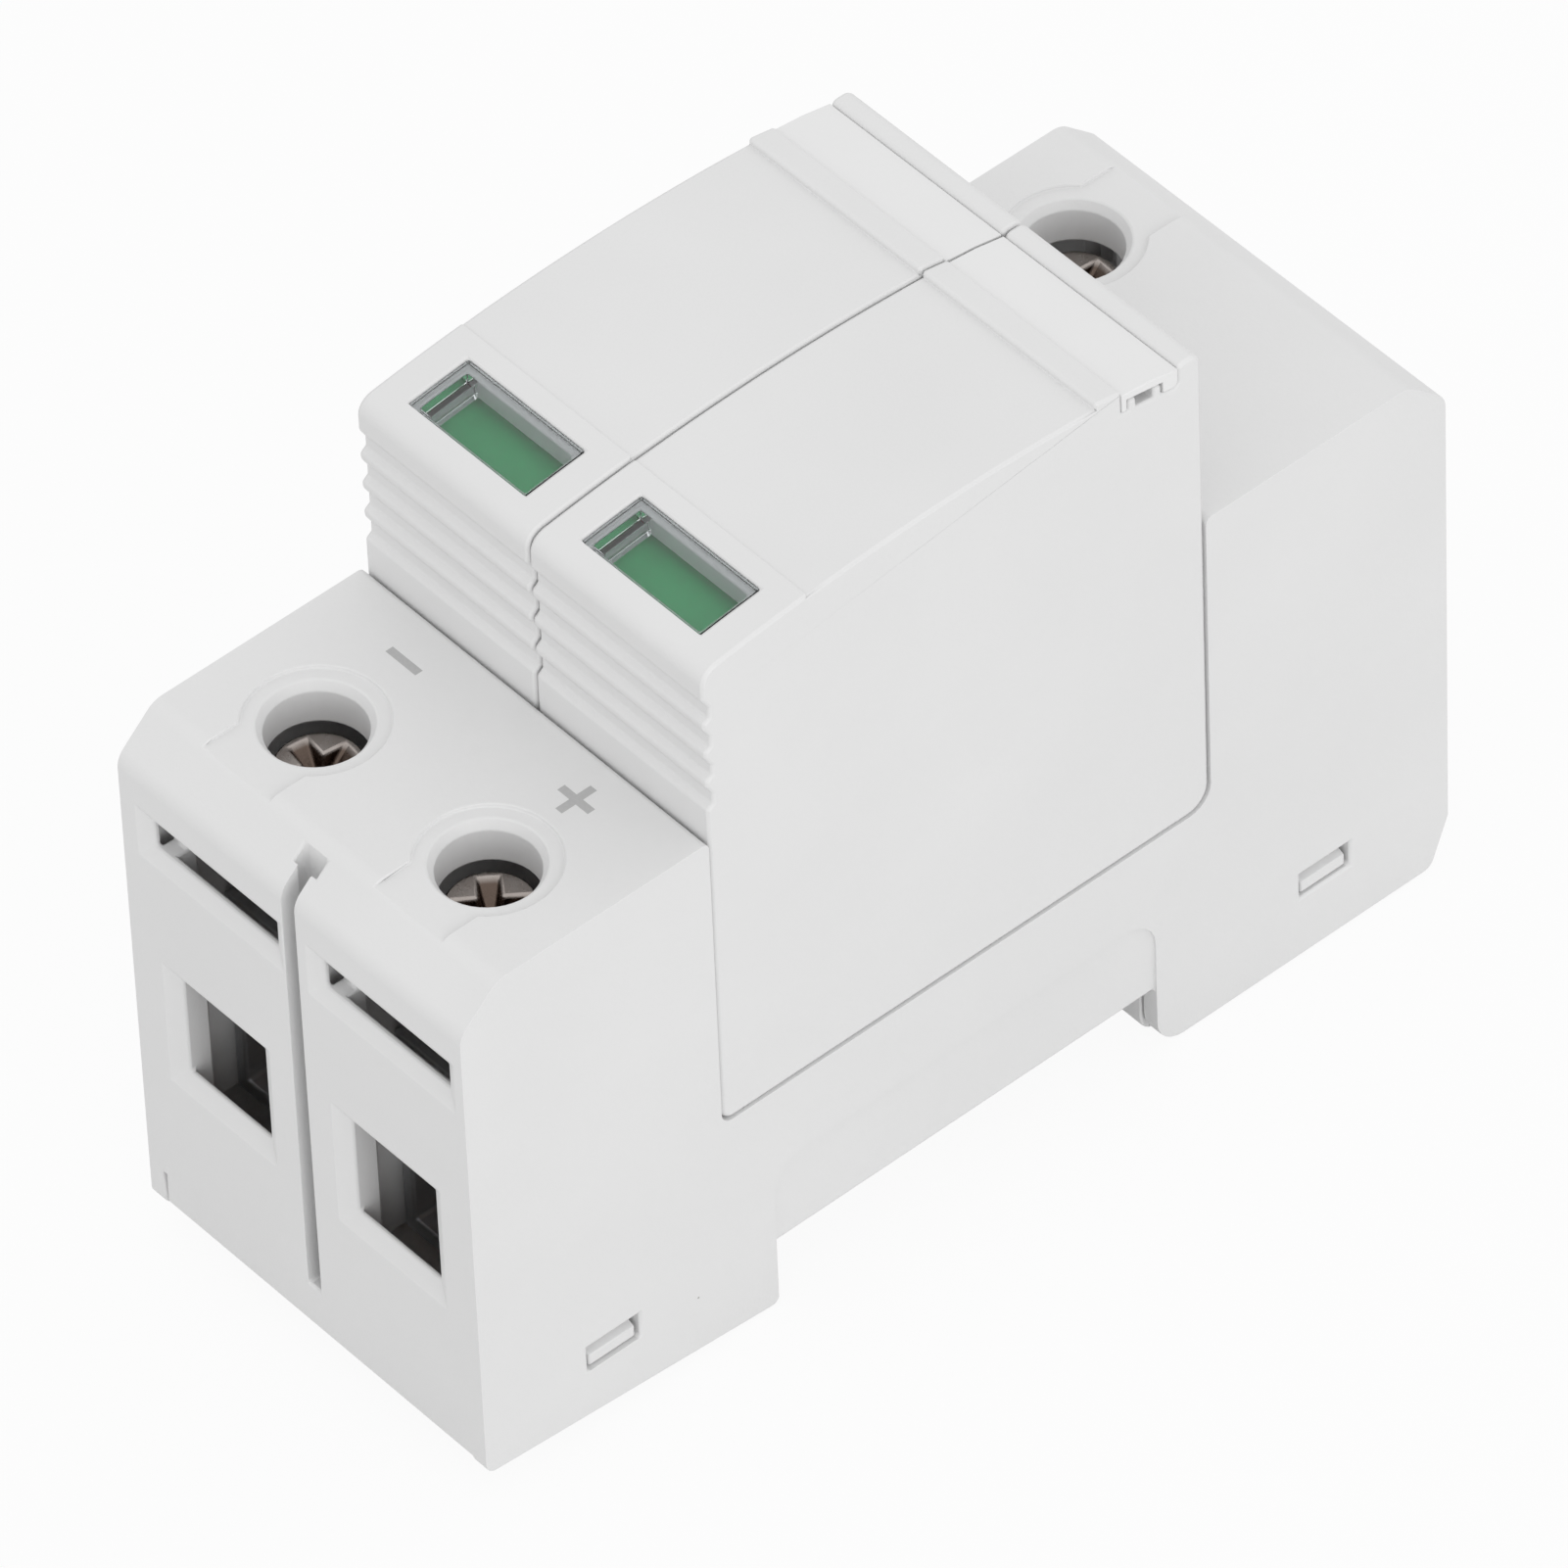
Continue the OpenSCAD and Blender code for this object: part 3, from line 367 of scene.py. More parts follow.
@dataclass(frozen=True)
class ClearPlastic:
    """Moulded clear polycarbonate: you see through it, with bright edges and a trace of blue."""

    slot: str
    name: str
    colour: str
    roughness: float
    ripple_mm: float
    ripple_strength: float = 0.4
    ripple_lift: float = 0.01
    ior: float = 1.52

    def build(self) -> bpy.types.Material:
        """Makes the material."""
        material, tree, place = new_material(self.name)
        ripple = noise(tree, place, self.ripple_mm, 2.0)
        coat(tree, {"Base Color": linear(self.colour), "Roughness": self.roughness,
                    "Normal": bumped(tree, ripple, self.ripple_strength, self.ripple_lift),
                    "IOR": self.ior, "Transmission Weight": 1.0})
        return material


@dataclass(frozen=True)
class PlatedMetal:
    """Plated or bare metal: a tone that wanders a little, and fine lines from rolling or turning.

    A recess, where its painted shade colour is given, has that painted shade up to the first height
    and fades into the tone at the second; it stands in for the shade that falls down in the recess.
    """

    slot: str
    name: str
    colour: str
    stain: str
    roughness: float
    line_mm: float
    line_stretch: tuple[float, float, float]
    line_strength: float = 0.5
    line_lift: float = 0.01
    gloss_gain: float = 0.08
    gloss_loss: float = 0.1
    stain_mm: float = 1.6
    recess_colour: str = ""
    recess_mm: tuple[float, float] = (0.0, 0.0)

    def build(self) -> bpy.types.Material:
        """Makes the material."""
        material, tree, place = new_material(self.name)
        tone = blend(tree, noise(tree, place, self.stain_mm, 4.0), self.colour, self.stain)
        # Painted shade: below a height the recess takes a darker brown, which fades into the tone above it
        if self.recess_colour:
            low, high = self.recess_mm
            spot = add_node(tree, "ShaderNodeSeparateXYZ", {"Vector": place})
            shade_fade = add_node(tree, "ShaderNodeMapRange",
                            {"Value": spot.outputs["Z"], "From Min": low * MM, "From Max": high * MM})
            tone = blend(tree, shade_fade.outputs["Result"], self.recess_colour, tone)
        turned = add_node(tree, "ShaderNodeMapping", {"Vector": place, "Scale": self.line_stretch})
        lines = noise(tree, turned.outputs["Vector"], self.line_mm, 2.0)
        smoother, rougher = self.roughness - self.gloss_gain, self.roughness + self.gloss_loss
        coat(tree, {"Base Color": tone, "Roughness": ranged(tree, lines, smoother, rougher),
                    "Normal": bumped(tree, lines, self.line_strength, self.line_lift), "Metallic": 1.0})
        return material


@dataclass(frozen=True)
class PrintedInk:
    """Pad printed grey ink: flat, matt, and a little thin where the pad lifted."""

    slot: str
    name: str
    colour: str
    thin: str
    grain_mm: float
    roughness: float = 0.6
    ior: float = 1.45

    def build(self) -> bpy.types.Material:
        """Makes the material."""
        material, tree, place = new_material(self.name)
        tone = blend(tree, noise(tree, place, self.grain_mm, 3.0), self.colour, self.thin)
        coat(tree, {"Base Color": tone, "Roughness": self.roughness, "IOR": self.ior})
        return material


# Light grey glass filled polyamide; the spark eroded grain of about 0.1 mm is drawn at 0.3 mm to show
HOUSING = MouldedPlastic("housing", "polyamide light grey moulded", "#E3E3E3", "#DDDDDD", 0.48, 0.3, 0.012)
# White polycarbonate strip, smoother than the housing
MARKER = MouldedPlastic("marker", "polycarbonate white moulded", "#E7E7E7", "#E3E3E3", 0.4, 0.4, 0.006)
# Clear polycarbonate window
LENS = ClearPlastic("lens", "polycarbonate clear moulded", "#F6F9FA", 0.04, 1.2)
# Green ABS flag, smooth, with flecks of dust under the window
FLAG = MouldedPlastic("flag", "ABS green moulded", "#08BE6C", "#08B064", 0.5, 0.4, 0.006,
                      speck_pitch_mm=2.2, speck_mm=0.08, speck_colour="#C9E3D2")
# Red ABS plate that shows when the flag has swung away
STATUS = MouldedPlastic("status", "ABS red moulded", "#C8302C", "#BE2A26", 0.5, 0.4, 0.006)
# Natural polyester for the parts inside a module
INNER = MouldedPlastic("inner_plastic", "polyester natural moulded", "#E8E6E0", "#E2E0D8", 0.5, 0.4, 0.008)
# Zinc plated steel strip, folded; the rolling lines run along the fold
CAGE = PlatedMetal("cage_steel", "steel zinc plated folded", "#C9CBCD", "#B4B6B8", 0.5, 0.25,
                   (1.0, 0.12, 1.0))
# Nickel plated steel, cold headed; warm in tone, with painted shade in dark brown down in the cross recess
SCREW = PlatedMetal("screw", "steel nickel plated headed", "#B4AEAA", "#9C928C", 0.24, 0.3,
                    (1.0, 1.0, 1.0), recess_colour="#64574F", recess_mm=(44.15, 44.45))
# Copper alloy strip, stamped
CONTACT = PlatedMetal("contact", "copper alloy stamped", "#C98F63", "#B67B50", 0.3, 0.2, (1.0, 0.1, 1.0))
# Tin plated copper blades
BLADE = PlatedMetal("blade", "copper tin plated stamped", "#CFCFCB", "#BDBDB8", 0.32, 0.2, (1.0, 1.0, 0.1))
# Hard drawn spring wire
SPRING = PlatedMetal("spring", "steel spring wire drawn", "#B4B5B8", "#A2A3A6", 0.28, 0.3, (1.0, 1.0, 1.0))
# Epoxy powder coat over the varistor's ceramic block
VARISTOR = MouldedPlastic("varistor", "epoxy blue powder coat", "#2E4FA0", "#274693", 0.35, 1.2, 0.03)
# Grey ink of the pole marks
INK = PrintedInk("housing", "ink grey pad printed", "#ACACAC", "#B9B9B9", 0.25)


def lies_flat(edge: bmesh.types.BMEdge) -> bool:
    """Whether an edge that is no seam only divides one flat face."""
    if edge.seam or len(edge.link_faces) != 2:
        return False
    return all(
        abs((vert.co - edge.verts[0].co).dot(face.normal)) < FLAT_MM * MM
        for face, other in (edge.link_faces, reversed(edge.link_faces[:]))
        for vert in other.verts
    )


def edge_room(face: bmesh.types.BMFace, edge: bmesh.types.BMEdge) -> float:
    """Width of a face beside one of its edges.

    Args:
        face: The face.
        edge: One of its sharp edges.

    Returns:
        Distance to the nearest edge that runs alongside, or almost none at an acute corner.
    """
    for loop in edge.link_loops:
        if loop.face == face and min(loop.calc_angle(), loop.link_loop_next.calc_angle()) < ACUTE:
            return ACUTE_ROOM_MM * MM
    start, end = (vert.co for vert in edge.verts)
    length = (end - start).length
    along = (end - start) / length
    room = FREE_ROOM
    for other in face.edges:
        a, b = (vert.co - start for vert in other.verts)
        if other == edge or abs((b - a).normalized().dot(along)) < ALONGSIDE:
            continue
        low, high = sorted((a.dot(along), b.dot(along)))
        if min(high, length) - max(low, 0.0) > BESIDE * min(length, high - low):
            middle = (a + b) / 2
            room = min(room, (middle - along * middle.dot(along)).length)
    return room


def runs_on(shape: bmesh.types.BMesh) -> list[list[bmesh.types.BMEdge]]:
    """Gathers the sharp edges into runs that go on without a corner.

    Args:
        shape: Mesh to read.

    Returns:
        The edges of each run.
    """
    run_of = {edge: [edge] for edge in shape.edges if not edge.smooth}
    for vert in shape.verts:
        ends = [(edge, (edge.other_vert(vert).co - vert.co).normalized()) for edge in vert.link_edges
                if edge in run_of]
        for i, (edge, way) in enumerate(ends):
            for other, other_way in ends[:i]:
                first, second = run_of[edge], run_of[other]
                if way.dot(other_way) < -GOES_ON and first is not second:
                    first.extend(second)
                    run_of.update((member, first) for member in second)
    return list({id(run): run for run in run_of.values()}.values())


def weigh_edges(shape: bmesh.types.BMesh, radius: float) -> None:
    """Gives each run of sharp edges one radius, or as much of it as its faces have room for.

    The width of a rounding is its radius times the tangent of half the edge's angle, so a blunt edge
    takes less of it than a square one.

    Args:
        shape: Mesh to weigh.
        radius: Radius of the rounding in metres, which is its width at a square edge.
    """
    weight = shape.edges.layers.float.new("bevel_weight_edge")
    room: dict[bmesh.types.BMEdge, float] = {}
    for face in shape.faces:
        for edge in face.edges:
            if not edge.smooth:
                room[edge] = min(room.get(edge, FREE_ROOM), edge_room(face, edge))
    for run in runs_on(shape):
        blunt = tan(min(edge.calc_face_angle(0.0) for edge in run) / 2)
        share = min(1.0, blunt, ROOM_SHARE * min(room[edge] for edge in run) / radius)
        for edge in run:
            edge[weight] = share


def ready_edges(mesh: bpy.types.Mesh, radius: float) -> None:
    """Rids a mesh of edges that only divide flat faces, and marks and weighs the sharp ones.

    Args:
        mesh: Mesh to change.
        radius: Radius of the rounding in metres.
    """
    shape = bmesh.new()
    shape.from_mesh(mesh)
    bmesh.ops.remove_doubles(shape, verts=shape.verts, dist=MERGE_MM * MM)
    bmesh.ops.dissolve_limit(shape, angle_limit=FLAT_ANGLE, verts=shape.verts, edges=shape.edges,
                             delimit={"SEAM"})
    needless = [edge for edge in shape.edges if lies_flat(edge)]
    bmesh.ops.dissolve_edges(shape, edges=needless, use_verts=True)
    for face in shape.faces:
        face.smooth = True
    for edge in shape.edges:
        edge.smooth = edge.calc_face_angle(0.0) < SHARP
    weigh_edges(shape, radius)
    shape.to_mesh(mesh)
    shape.free()
    if "custom_normal" in mesh.attributes:
        mesh.attributes.remove(mesh.attributes["custom_normal"])


def closed_mesh(name: str, shape: bmesh.types.BMesh) -> bpy.types.Mesh:
    """Closes a shape's joins, turns its faces outwards and keeps it as a mesh.

    Args:
        name: Name of the mesh.
        shape: Shape in millimetres, which is used up.

    Returns:
        The mesh.
    """
    bmesh.ops.remove_doubles(shape, verts=shape.verts, dist=MERGE_MM)
    bmesh.ops.recalc_face_normals(shape, faces=shape.faces)
    mesh = bpy.data.meshes.new(name)
    shape.to_mesh(mesh)
    shape.free()
    return mesh


def in_order(mesh: bpy.types.Mesh) -> bpy.types.Mesh:
    """Rebuilds a mesh in a fixed order, because a Boolean lists its points and faces anew each run.

    Args:
        mesh: Mesh in millimetres.

    Returns:
        The same shape, with its points sorted by place and its faces by their points.
    """
    spots = [tuple(round(value, POINT_DIGITS) for value in vert.co) for vert in mesh.vertices]
    order = sorted(range(len(spots)), key=spots.__getitem__)
    rank = {old: new for new, old in enumerate(order)}
    faces = []
    for face in mesh.polygons:
        ring = [rank[i] for i in face.vertices]
        first = ring.index(min(ring))
        faces.append(ring[first:] + ring[:first])
    fixed = bpy.data.meshes.new(mesh.name)
    fixed.from_pydata([mesh.vertices[i].co for i in order], [], sorted(faces))
    return fixed


class Workshop:
    """Turns solids and trees into finished pieces that ride on their bodies."""

    def __init__(self) -> None:
        """Reads which body carries each node."""
        self.body_of: dict[str, str] = {
            node: body
            for body, nodes in frame["record"]["behaviour"]["bodies"].items()
            for node in nodes
        }
        self.materials: dict[str, bpy.types.Material] = {}

    def material(self, finish: Finish) -> bpy.types.Material:
        """Material of a finish, made at its first use."""
        if finish.name not in self.materials:
            self.materials[finish.name] = finish.build()
        return self.materials[finish.name]

    def keep(self, name: str, mesh: bpy.types.Mesh, body: str, finish: Finish) -> bpy.types.Object:
        """Makes an object of a mesh that is already in place.

        Args:
            name: Name of the piece.
            mesh: Its mesh, with its place in it.
            body: Body that it rides on.
            finish: Its finish.

        Returns:
            The piece.
        """
        mesh.materials.clear()
        mesh.materials.append(self.material(finish))
        piece = put(name, mesh)
        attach(piece, body)
        LOG.info("%s rides on %s, %s", name, body, finish.name)
        return piece

    def soften(self, node: str, finish: Finish, round_mm: float, segments: int = 2,
               source: bpy.types.Mesh | None = None) -> None:
        """Stands a copy of a solid in its place, with its sharp edges rounded.

        Args:
            node: Name of the solid.
            finish: Finish of the piece.
            round_mm: Radius of the rounding.
            segments: Faces across the rounding.
            source: Mesh to round where the real piece has more detail than the solid.
        """
        mesh = (source or frame["nodes"][node].data).copy()
        mesh.name = f"{node}_blank"
        ready_edges(mesh, round_mm * MM)
        blank = put(f"{node}_blank", mesh)
        rounding = blank.modifiers.new("edge rounding", "BEVEL")
        rounding.width = round_mm * MM
        rounding.segments = segments
        rounding.limit_method = "WEIGHT"
        rounding.use_clamp_overlap = False
        rounding.loop_slide = False
        facing = blank.modifiers.new("flat faces", "WEIGHTED_NORMAL")
        facing.weight = 100
        facing.keep_sharp = True
        rounded = applied(blank)
        rounded.name = f"{node}_finished"
        low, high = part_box(node)
        for vert in rounded.vertices:
            vert.co = [min(max(c, a), b) for c, a, b in zip(vert.co, low, high)]
        piece = self.keep(rounded.name, rounded, self.body_of[node], finish)
        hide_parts(node)

    def grow(self, name: str, tree: bpy.types.NodeTree, values: dict[str, float], place: Matrix,
             body: str, finish: Finish) -> bpy.types.Object:
        """Runs a geometry tree once and keeps its result as a plain mesh.

        Args:
            name: Name of the piece.
            tree: Tree to run.
            values: A value for each named input.
            place: Where the result goes.
            body: Body that it rides on.
            finish: Its finish.

        Returns:
            The piece.
        """
        host = put(f"{name}_host", bpy.data.meshes.new(f"{name}_host"))
        modifier = host.modifiers.new("tree", "NODES")
        modifier.node_group = tree
        for socket in tree.interface.items_tree:
            if socket.in_out == "INPUT" and socket.name in values:
                modifier[socket.identifier] = values[socket.name]
            elif socket.in_out == "INPUT" and socket.name == "Finish":
                modifier[socket.identifier] = self.material(finish)
        mesh = applied(host)
        mesh.name = name
        mesh.transform(place)
        return self.keep(name, mesh, body, finish)

    def wind_spring(self, coil: bpy.types.NodeTree, node: str, turns: float, wire: float) -> None:
        """Winds a smooth spring along Y in the place of a solid one.

        Args:
            coil: Tree that winds.
            node: Name of the solid spring.
            turns: Number of turns.
            wire: Wire diameter in millimetres.
        """
        low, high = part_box(node)
        radius = (high.x - low.x) / 2 - wire * MM / 2
        length = high.y - low.y - wire * MM
        start = Vector(((low.x + high.x) / 2, high.y - wire * MM / 2, (low.z + high.z) / 2))
        place = Matrix.Translation(start) @ Matrix.Rotation(radians(90), 4, "X")
        piece = self.grow(f"{node}_wound", coil,
                          {"Radius": radius, "Length": length, "Turns": turns, "Wire": wire * MM,
                           "Sides": WIRE_SIDES}, place, self.body_of[node], SPRING)
        for face in piece.data.polygons:
            face.use_smooth = True
        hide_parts(node)


def new_geometry_tree(name: str, sizes: dict[str, str]) -> tuple[bpy.types.NodeTree, bpy.types.Node]:
    """Starts a geometry tree with named inputs.

    Args:
        name: Name of the tree.
        sizes: Socket type of each input by its name.

    Returns:
        The tree and its input node.
    """
    tree = bpy.data.node_groups.new(name, "GeometryNodeTree")
    for label, kind in {**sizes, "Finish": "NodeSocketMaterial"}.items():
        tree.interface.new_socket(label, in_out="INPUT", socket_type=kind)
    tree.interface.new_socket("Geometry", in_out="OUTPUT", socket_type="NodeSocketGeometry")
    return tree, add_node(tree, "NodeGroupInput")


def end_geometry_tree(tree: bpy.types.NodeTree, sizes: bpy.types.Node,
                      shape: bpy.types.NodeSocket) -> None:
    """Closes a geometry tree with Realize Instances and Set Material.

    Args:
        tree: The tree.
        sizes: Its input node.
        shape: Geometry to give out.
    """
    real = add_node(tree, "GeometryNodeRealizeInstances", {"Geometry": shape})
    coated = add_node(tree, "GeometryNodeSetMaterial",
                      {"Geometry": real.outputs[0], "Material": sizes.outputs["Finish"]})
    add_node(tree, "NodeGroupOutput", {0: coated.outputs[0]})


def coil_tree() -> bpy.types.NodeTree:
    """Tree that winds a wire along a helix on Z, for springs and for screw threads.

    Returns:
        Tree with inputs Radius, Length, Turns, Wire and Sides.
    """
    tree, sizes = new_geometry_tree("wound coil", {
        "Radius": "NodeSocketFloat", "Length": "NodeSocketFloat", "Turns": "NodeSocketFloat",
        "Wire": "NodeSocketFloat", "Sides": "NodeSocketInt"})
    radius = sizes.outputs["Radius"]
    helix = add_node(tree, "GeometryNodeCurveSpiral",
                     {"Resolution": TURN_POINTS, "Rotations": sizes.outputs["Turns"],
                      "Start Radius": radius, "End Radius": radius, "Height": sizes.outputs["Length"]})
    half = calc(tree, "MULTIPLY", sizes.outputs["Wire"], 0.5)
    section = add_node(tree, "GeometryNodeCurvePrimitiveCircle",
                       {"Resolution": sizes.outputs["Sides"], "Radius": half})
    wire = add_node(tree, "GeometryNodeCurveToMesh",
                    {"Curve": helix.outputs["Curve"], "Profile Curve": section.outputs["Curve"],
                     "Fill Caps": True})
    end_geometry_tree(tree, sizes, wire.outputs["Mesh"])
    return tree


def bars_tree() -> bpy.types.NodeTree:
    """Tree that lays flat bars across each other at right angles, for the printed pole marks.

    Returns:
        Tree with inputs Length, Width, Ink and Bars.
    """
    tree, sizes = new_geometry_tree("printed bars", {
        "Length": "NodeSocketFloat", "Width": "NodeSocketFloat", "Ink": "NodeSocketFloat",
        "Bars": "NodeSocketInt"})
    points = add_node(tree, "GeometryNodePoints", {"Count": sizes.outputs["Bars"]})
    size = add_node(tree, "ShaderNodeCombineXYZ",
                    {0: sizes.outputs["Length"], 1: sizes.outputs["Width"], 2: sizes.outputs["Ink"]})
    bar = add_node(tree, "GeometryNodeMeshCube", {"Size": size.outputs[0]})
    order = add_node(tree, "GeometryNodeInputIndex").outputs[0]
    quarter = calc(tree, "MULTIPLY", order, radians(90))
    turn = add_node(tree, "ShaderNodeCombineXYZ", {2: quarter})
    coats = calc(tree, "MULTIPLY_ADD", order, COAT_STEP, 1.0)
    stack = add_node(tree, "ShaderNodeCombineXYZ", {0: 1.0, 1: 1.0, 2: coats})
    laid = add_node(tree, "GeometryNodeInstanceOnPoints",
                    {"Points": points.outputs[0], "Instance": bar.outputs["Mesh"],
                     "Rotation": turn.outputs[0], "Scale": stack.outputs[0]})
    end_geometry_tree(tree, sizes, laid.outputs[0])
    return tree


@dataclass
class Base:
    """Shell, cover and contacts of the base, and the pole marks on its shoulder, in millimetres."""

    shell_round: float = 0.22
    cover_round: float = 0.15
    strip_round: float = 0.12
    mark_shift: float = -0.2
    mark_y: float = -26.55
    mark_z: float = 49.0
    mark_length: float = 3.15
    mark_width: float = 0.66
    ink_thickness: float = 0.02

    def build(self, shop: Workshop) -> None:
        """Makes the mouldings, the contacts and the marks."""
        shop.soften("base_shell", HOUSING, self.shell_round)
        shop.soften("bottom_cover", HOUSING, self.cover_round)
        for node in ("minus_contact", "plus_contact", "earth_busbar"):
            shop.soften(node, CONTACT, self.strip_round)
        self.print_marks(shop)

    def print_marks(self, shop: Workshop) -> None:
        """Prints one bar beside the minus terminal and a cross beside the plus terminal."""
        tree = bars_tree()
        for pole, bars in ((Pole.MINUS, 1), (Pole.PLUS, 2)):
            middle = Vector((pole.value + self.mark_shift, self.mark_y, self.mark_z)) * MM
            shop.grow(f"{pole.prefix}_mark", tree,
                      {"Length": self.mark_length * MM, "Width": self.mark_width * MM,
                       "Ink": self.ink_thickness * MM, "Bars": bars},
                      Matrix.Translation(middle), "base", INK)


@dataclass
class ScrewClamp:
    """Cage and screw of one terminal, in millimetres, the screw as its last turn left it.

    A punch presses the recess. It is a cross at both ends, and the arms of each cross are given by
    half their width and by their reach.
    """

    terminal: Terminal
    cage_round: float = 0.25
    head_round: float = 0.3
    round_segments: int = 3
    head_radius: float = 3.3
    head_low: float = 43.6
    head_top: float = 44.5
    recess_floor: float = 42.8
    recess_brim: float = 45.0
    floor_arm: tuple[float, float] = (0.38, 0.8)
    brim_arm: tuple[float, float] = (0.9, 3.4)
    seam_reach: float = 0.001
    screw_sides: int = 64
    shank_radius: float = 2.5
    thread_pitch: float = 0.8
    thread_wire: float = 0.5
    thread_sides: int = 4
    thread_lift: float = 0.06
    thread_low: float = 29.2
    thread_high: float = 40.2

    def build(self, shop: Workshop, coil: bpy.types.NodeTree) -> None:
        """Makes the cage, the screw and its thread."""
        screw = f"{self.terminal.prefix}_screw"
        shop.soften(f"{self.terminal.prefix}_cage", CAGE, self.cage_round, self.round_segments)
        shop.soften(screw, SCREW, self.head_round, self.round_segments, self.head_screw(screw))
        x, y = self.terminal.value
        length = self.thread_high - self.thread_low
        place = Matrix.Translation(Vector((x, y, self.thread_low)) * MM)
        radius = self.shank_radius + self.thread_lift - self.thread_wire / 2
        shop.grow(f"{screw}_thread", coil,
                  {"Radius": radius * MM, "Length": length * MM, "Turns": length / self.thread_pitch,
                   "Wire": self.thread_wire * MM, "Sides": self.thread_sides}, place, screw, SCREW)

    def turn_body(self, tip: float) -> bmesh.types.BMesh:
        """Turns the shank and the head about Z.

        Args:
            tip: Height of the shank's lower end.

        Returns:
            The body, whose first and last side still have to be joined.
        """
        shape = bmesh.new()
        outline = [shape.verts.new((radius, 0.0, height)) for radius, height in (
            (0.0, tip), (self.shank_radius, tip), (self.shank_radius, self.head_low),
            (self.head_radius, self.head_low), (self.head_radius, self.head_top), (0.0, self.head_top))]
        ridge = [shape.edges.new(pair) for pair in zip(outline, outline[1:])]
        bmesh.ops.spin(shape, geom=outline + ridge, axis=(0.0, 0.0, 1.0), angle=radians(360),
                       steps=self.screw_sides)
        return shape

    def shape_punch(self) -> bmesh.types.BMesh:
        """Shapes the punch of the recess.

        Returns:
            The punch, which widens from the recess's floor to above the head.
        """
        shape = bmesh.new()
        rings = []
        for height, (half, reach) in ((self.recess_floor, self.floor_arm),
                                      (self.recess_brim, self.brim_arm)):
            corners = [Matrix.Rotation(radians(90) * quarter, 3, "Z") @ Vector((across, along, height))
                       for quarter in range(4)
                       for across, along in ((reach, -half), (reach, half), (half, half))]
            rings.append([shape.verts.new(corner) for corner in corners])
        low, high = rings
        for ring in rings:
            shape.faces.new(ring)
        for i in range(len(low)):
            shape.faces.new((low[i - 1], low[i], high[i], high[i - 1]))
        return shape

    def head_screw(self, node: str) -> bpy.types.Mesh:
        """Presses the recess into the turned body and puts the screw in its place.

        Args:
            node: Name of the solid screw.

        Returns:
            Mesh of the screw.
        """
        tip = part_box(node)[0].z / MM
        body = put(f"{node}_body", closed_mesh(f"{node}_body", self.turn_body(tip)))
        punch = put(f"{node}_punch", closed_mesh(f"{node}_punch", self.shape_punch()))
        pressing = body.modifiers.new("recess", "BOOLEAN")
        pressing.solver = "EXACT"
        pressing.object = punch
        headed = in_order(applied(body))
        bpy.data.objects.remove(punch)
        # A face with a hole in it can't be rounded, so the edges in the middle planes stay as seams
        for edge in headed.edges:
            ends = [headed.vertices[i].co for i in edge.vertices]
            edge.use_seam = any(all(abs(end[axis]) < self.seam_reach for end in ends) for axis in (0, 1))
        x, y = self.terminal.value
        turn = Matrix.Rotation(radians(CROSS_TURNS[self.terminal]), 4, "Z")
        headed.transform(Matrix.Scale(MM, 4) @ Matrix.Translation((x, y, 0.0)) @ turn)
        return headed


@dataclass
class RailLatch:
    """Latch in the rear foot, and its return spring, in millimetres."""

    latch_round: float = 0.2
    spring_turns: float = 8.0
    wire: float = 0.45

    def build(self, shop: Workshop, coil: bpy.types.NodeTree) -> None:
        """Makes the latch and winds its spring in the place of the solid one."""
        shop.soften("rail_latch", HOUSING, self.latch_round)
        shop.wind_spring(coil, "latch_spring", self.spring_turns, self.wire)


@dataclass
class PlugModule:
    """One plug-in module, in millimetres: case, window, marker strip, and varistor and trip inside."""

    pole: Pole
    case_round: float = 0.25
    small_round: float = 0.08
    inner_round: float = 0.2
    varistor_round: float = 1.2
    varistor_segments: int = 4
    trip_turns: float = 6.0
    trip_wire: float = 0.5

    def build(self, shop: Workshop, coil: bpy.types.NodeTree) -> None:
        """Makes every piece of the module."""
        name = self.pole.prefix
        shop.soften(f"{name}_case", HOUSING, self.case_round)
        shop.soften(f"{name}_lens", LENS, self.small_round)
        shop.soften(f"{name}_marker", MARKER, self.small_round)
        shop.soften(f"{name}_flag", FLAG, self.small_round)
        shop.soften(f"{name}_status_plate", STATUS, self.small_round)
        shop.soften(f"{name}_base_plate", INNER, self.inner_round)
        shop.soften(f"{name}_lever", INNER, self.inner_round)
        shop.soften(f"{name}_varistor", VARISTOR, self.varistor_round, self.varistor_segments)
        for blade in ("line_blade", "earth_blade"):
            shop.soften(f"{name}_{blade}", BLADE, self.inner_round)
        shop.soften(f"{name}_thermal_link", CONTACT, self.small_round)
        shop.soften(f"{name}_lever_pin", SPRING, self.inner_round)
        shop.wind_spring(coil, f"{name}_trip_spring", self.trip_turns, self.trip_wire)


def seen_directly(tree: bpy.types.NodeTree) -> bpy.types.NodeSocket:
    """Adds the test for rays that show the background.

    Args:
        tree: Floor or world tree.

    Returns:
        A value of 1 for camera, glossy and transmission rays.
    """
    path = add_node(tree, "ShaderNodeLightPath")
    mirror = calc(tree, "MAXIMUM", path.outputs["Is Camera Ray"], path.outputs["Is Glossy Ray"])
    return calc(tree, "MAXIMUM", mirror, path.outputs["Is Transmission Ray"])


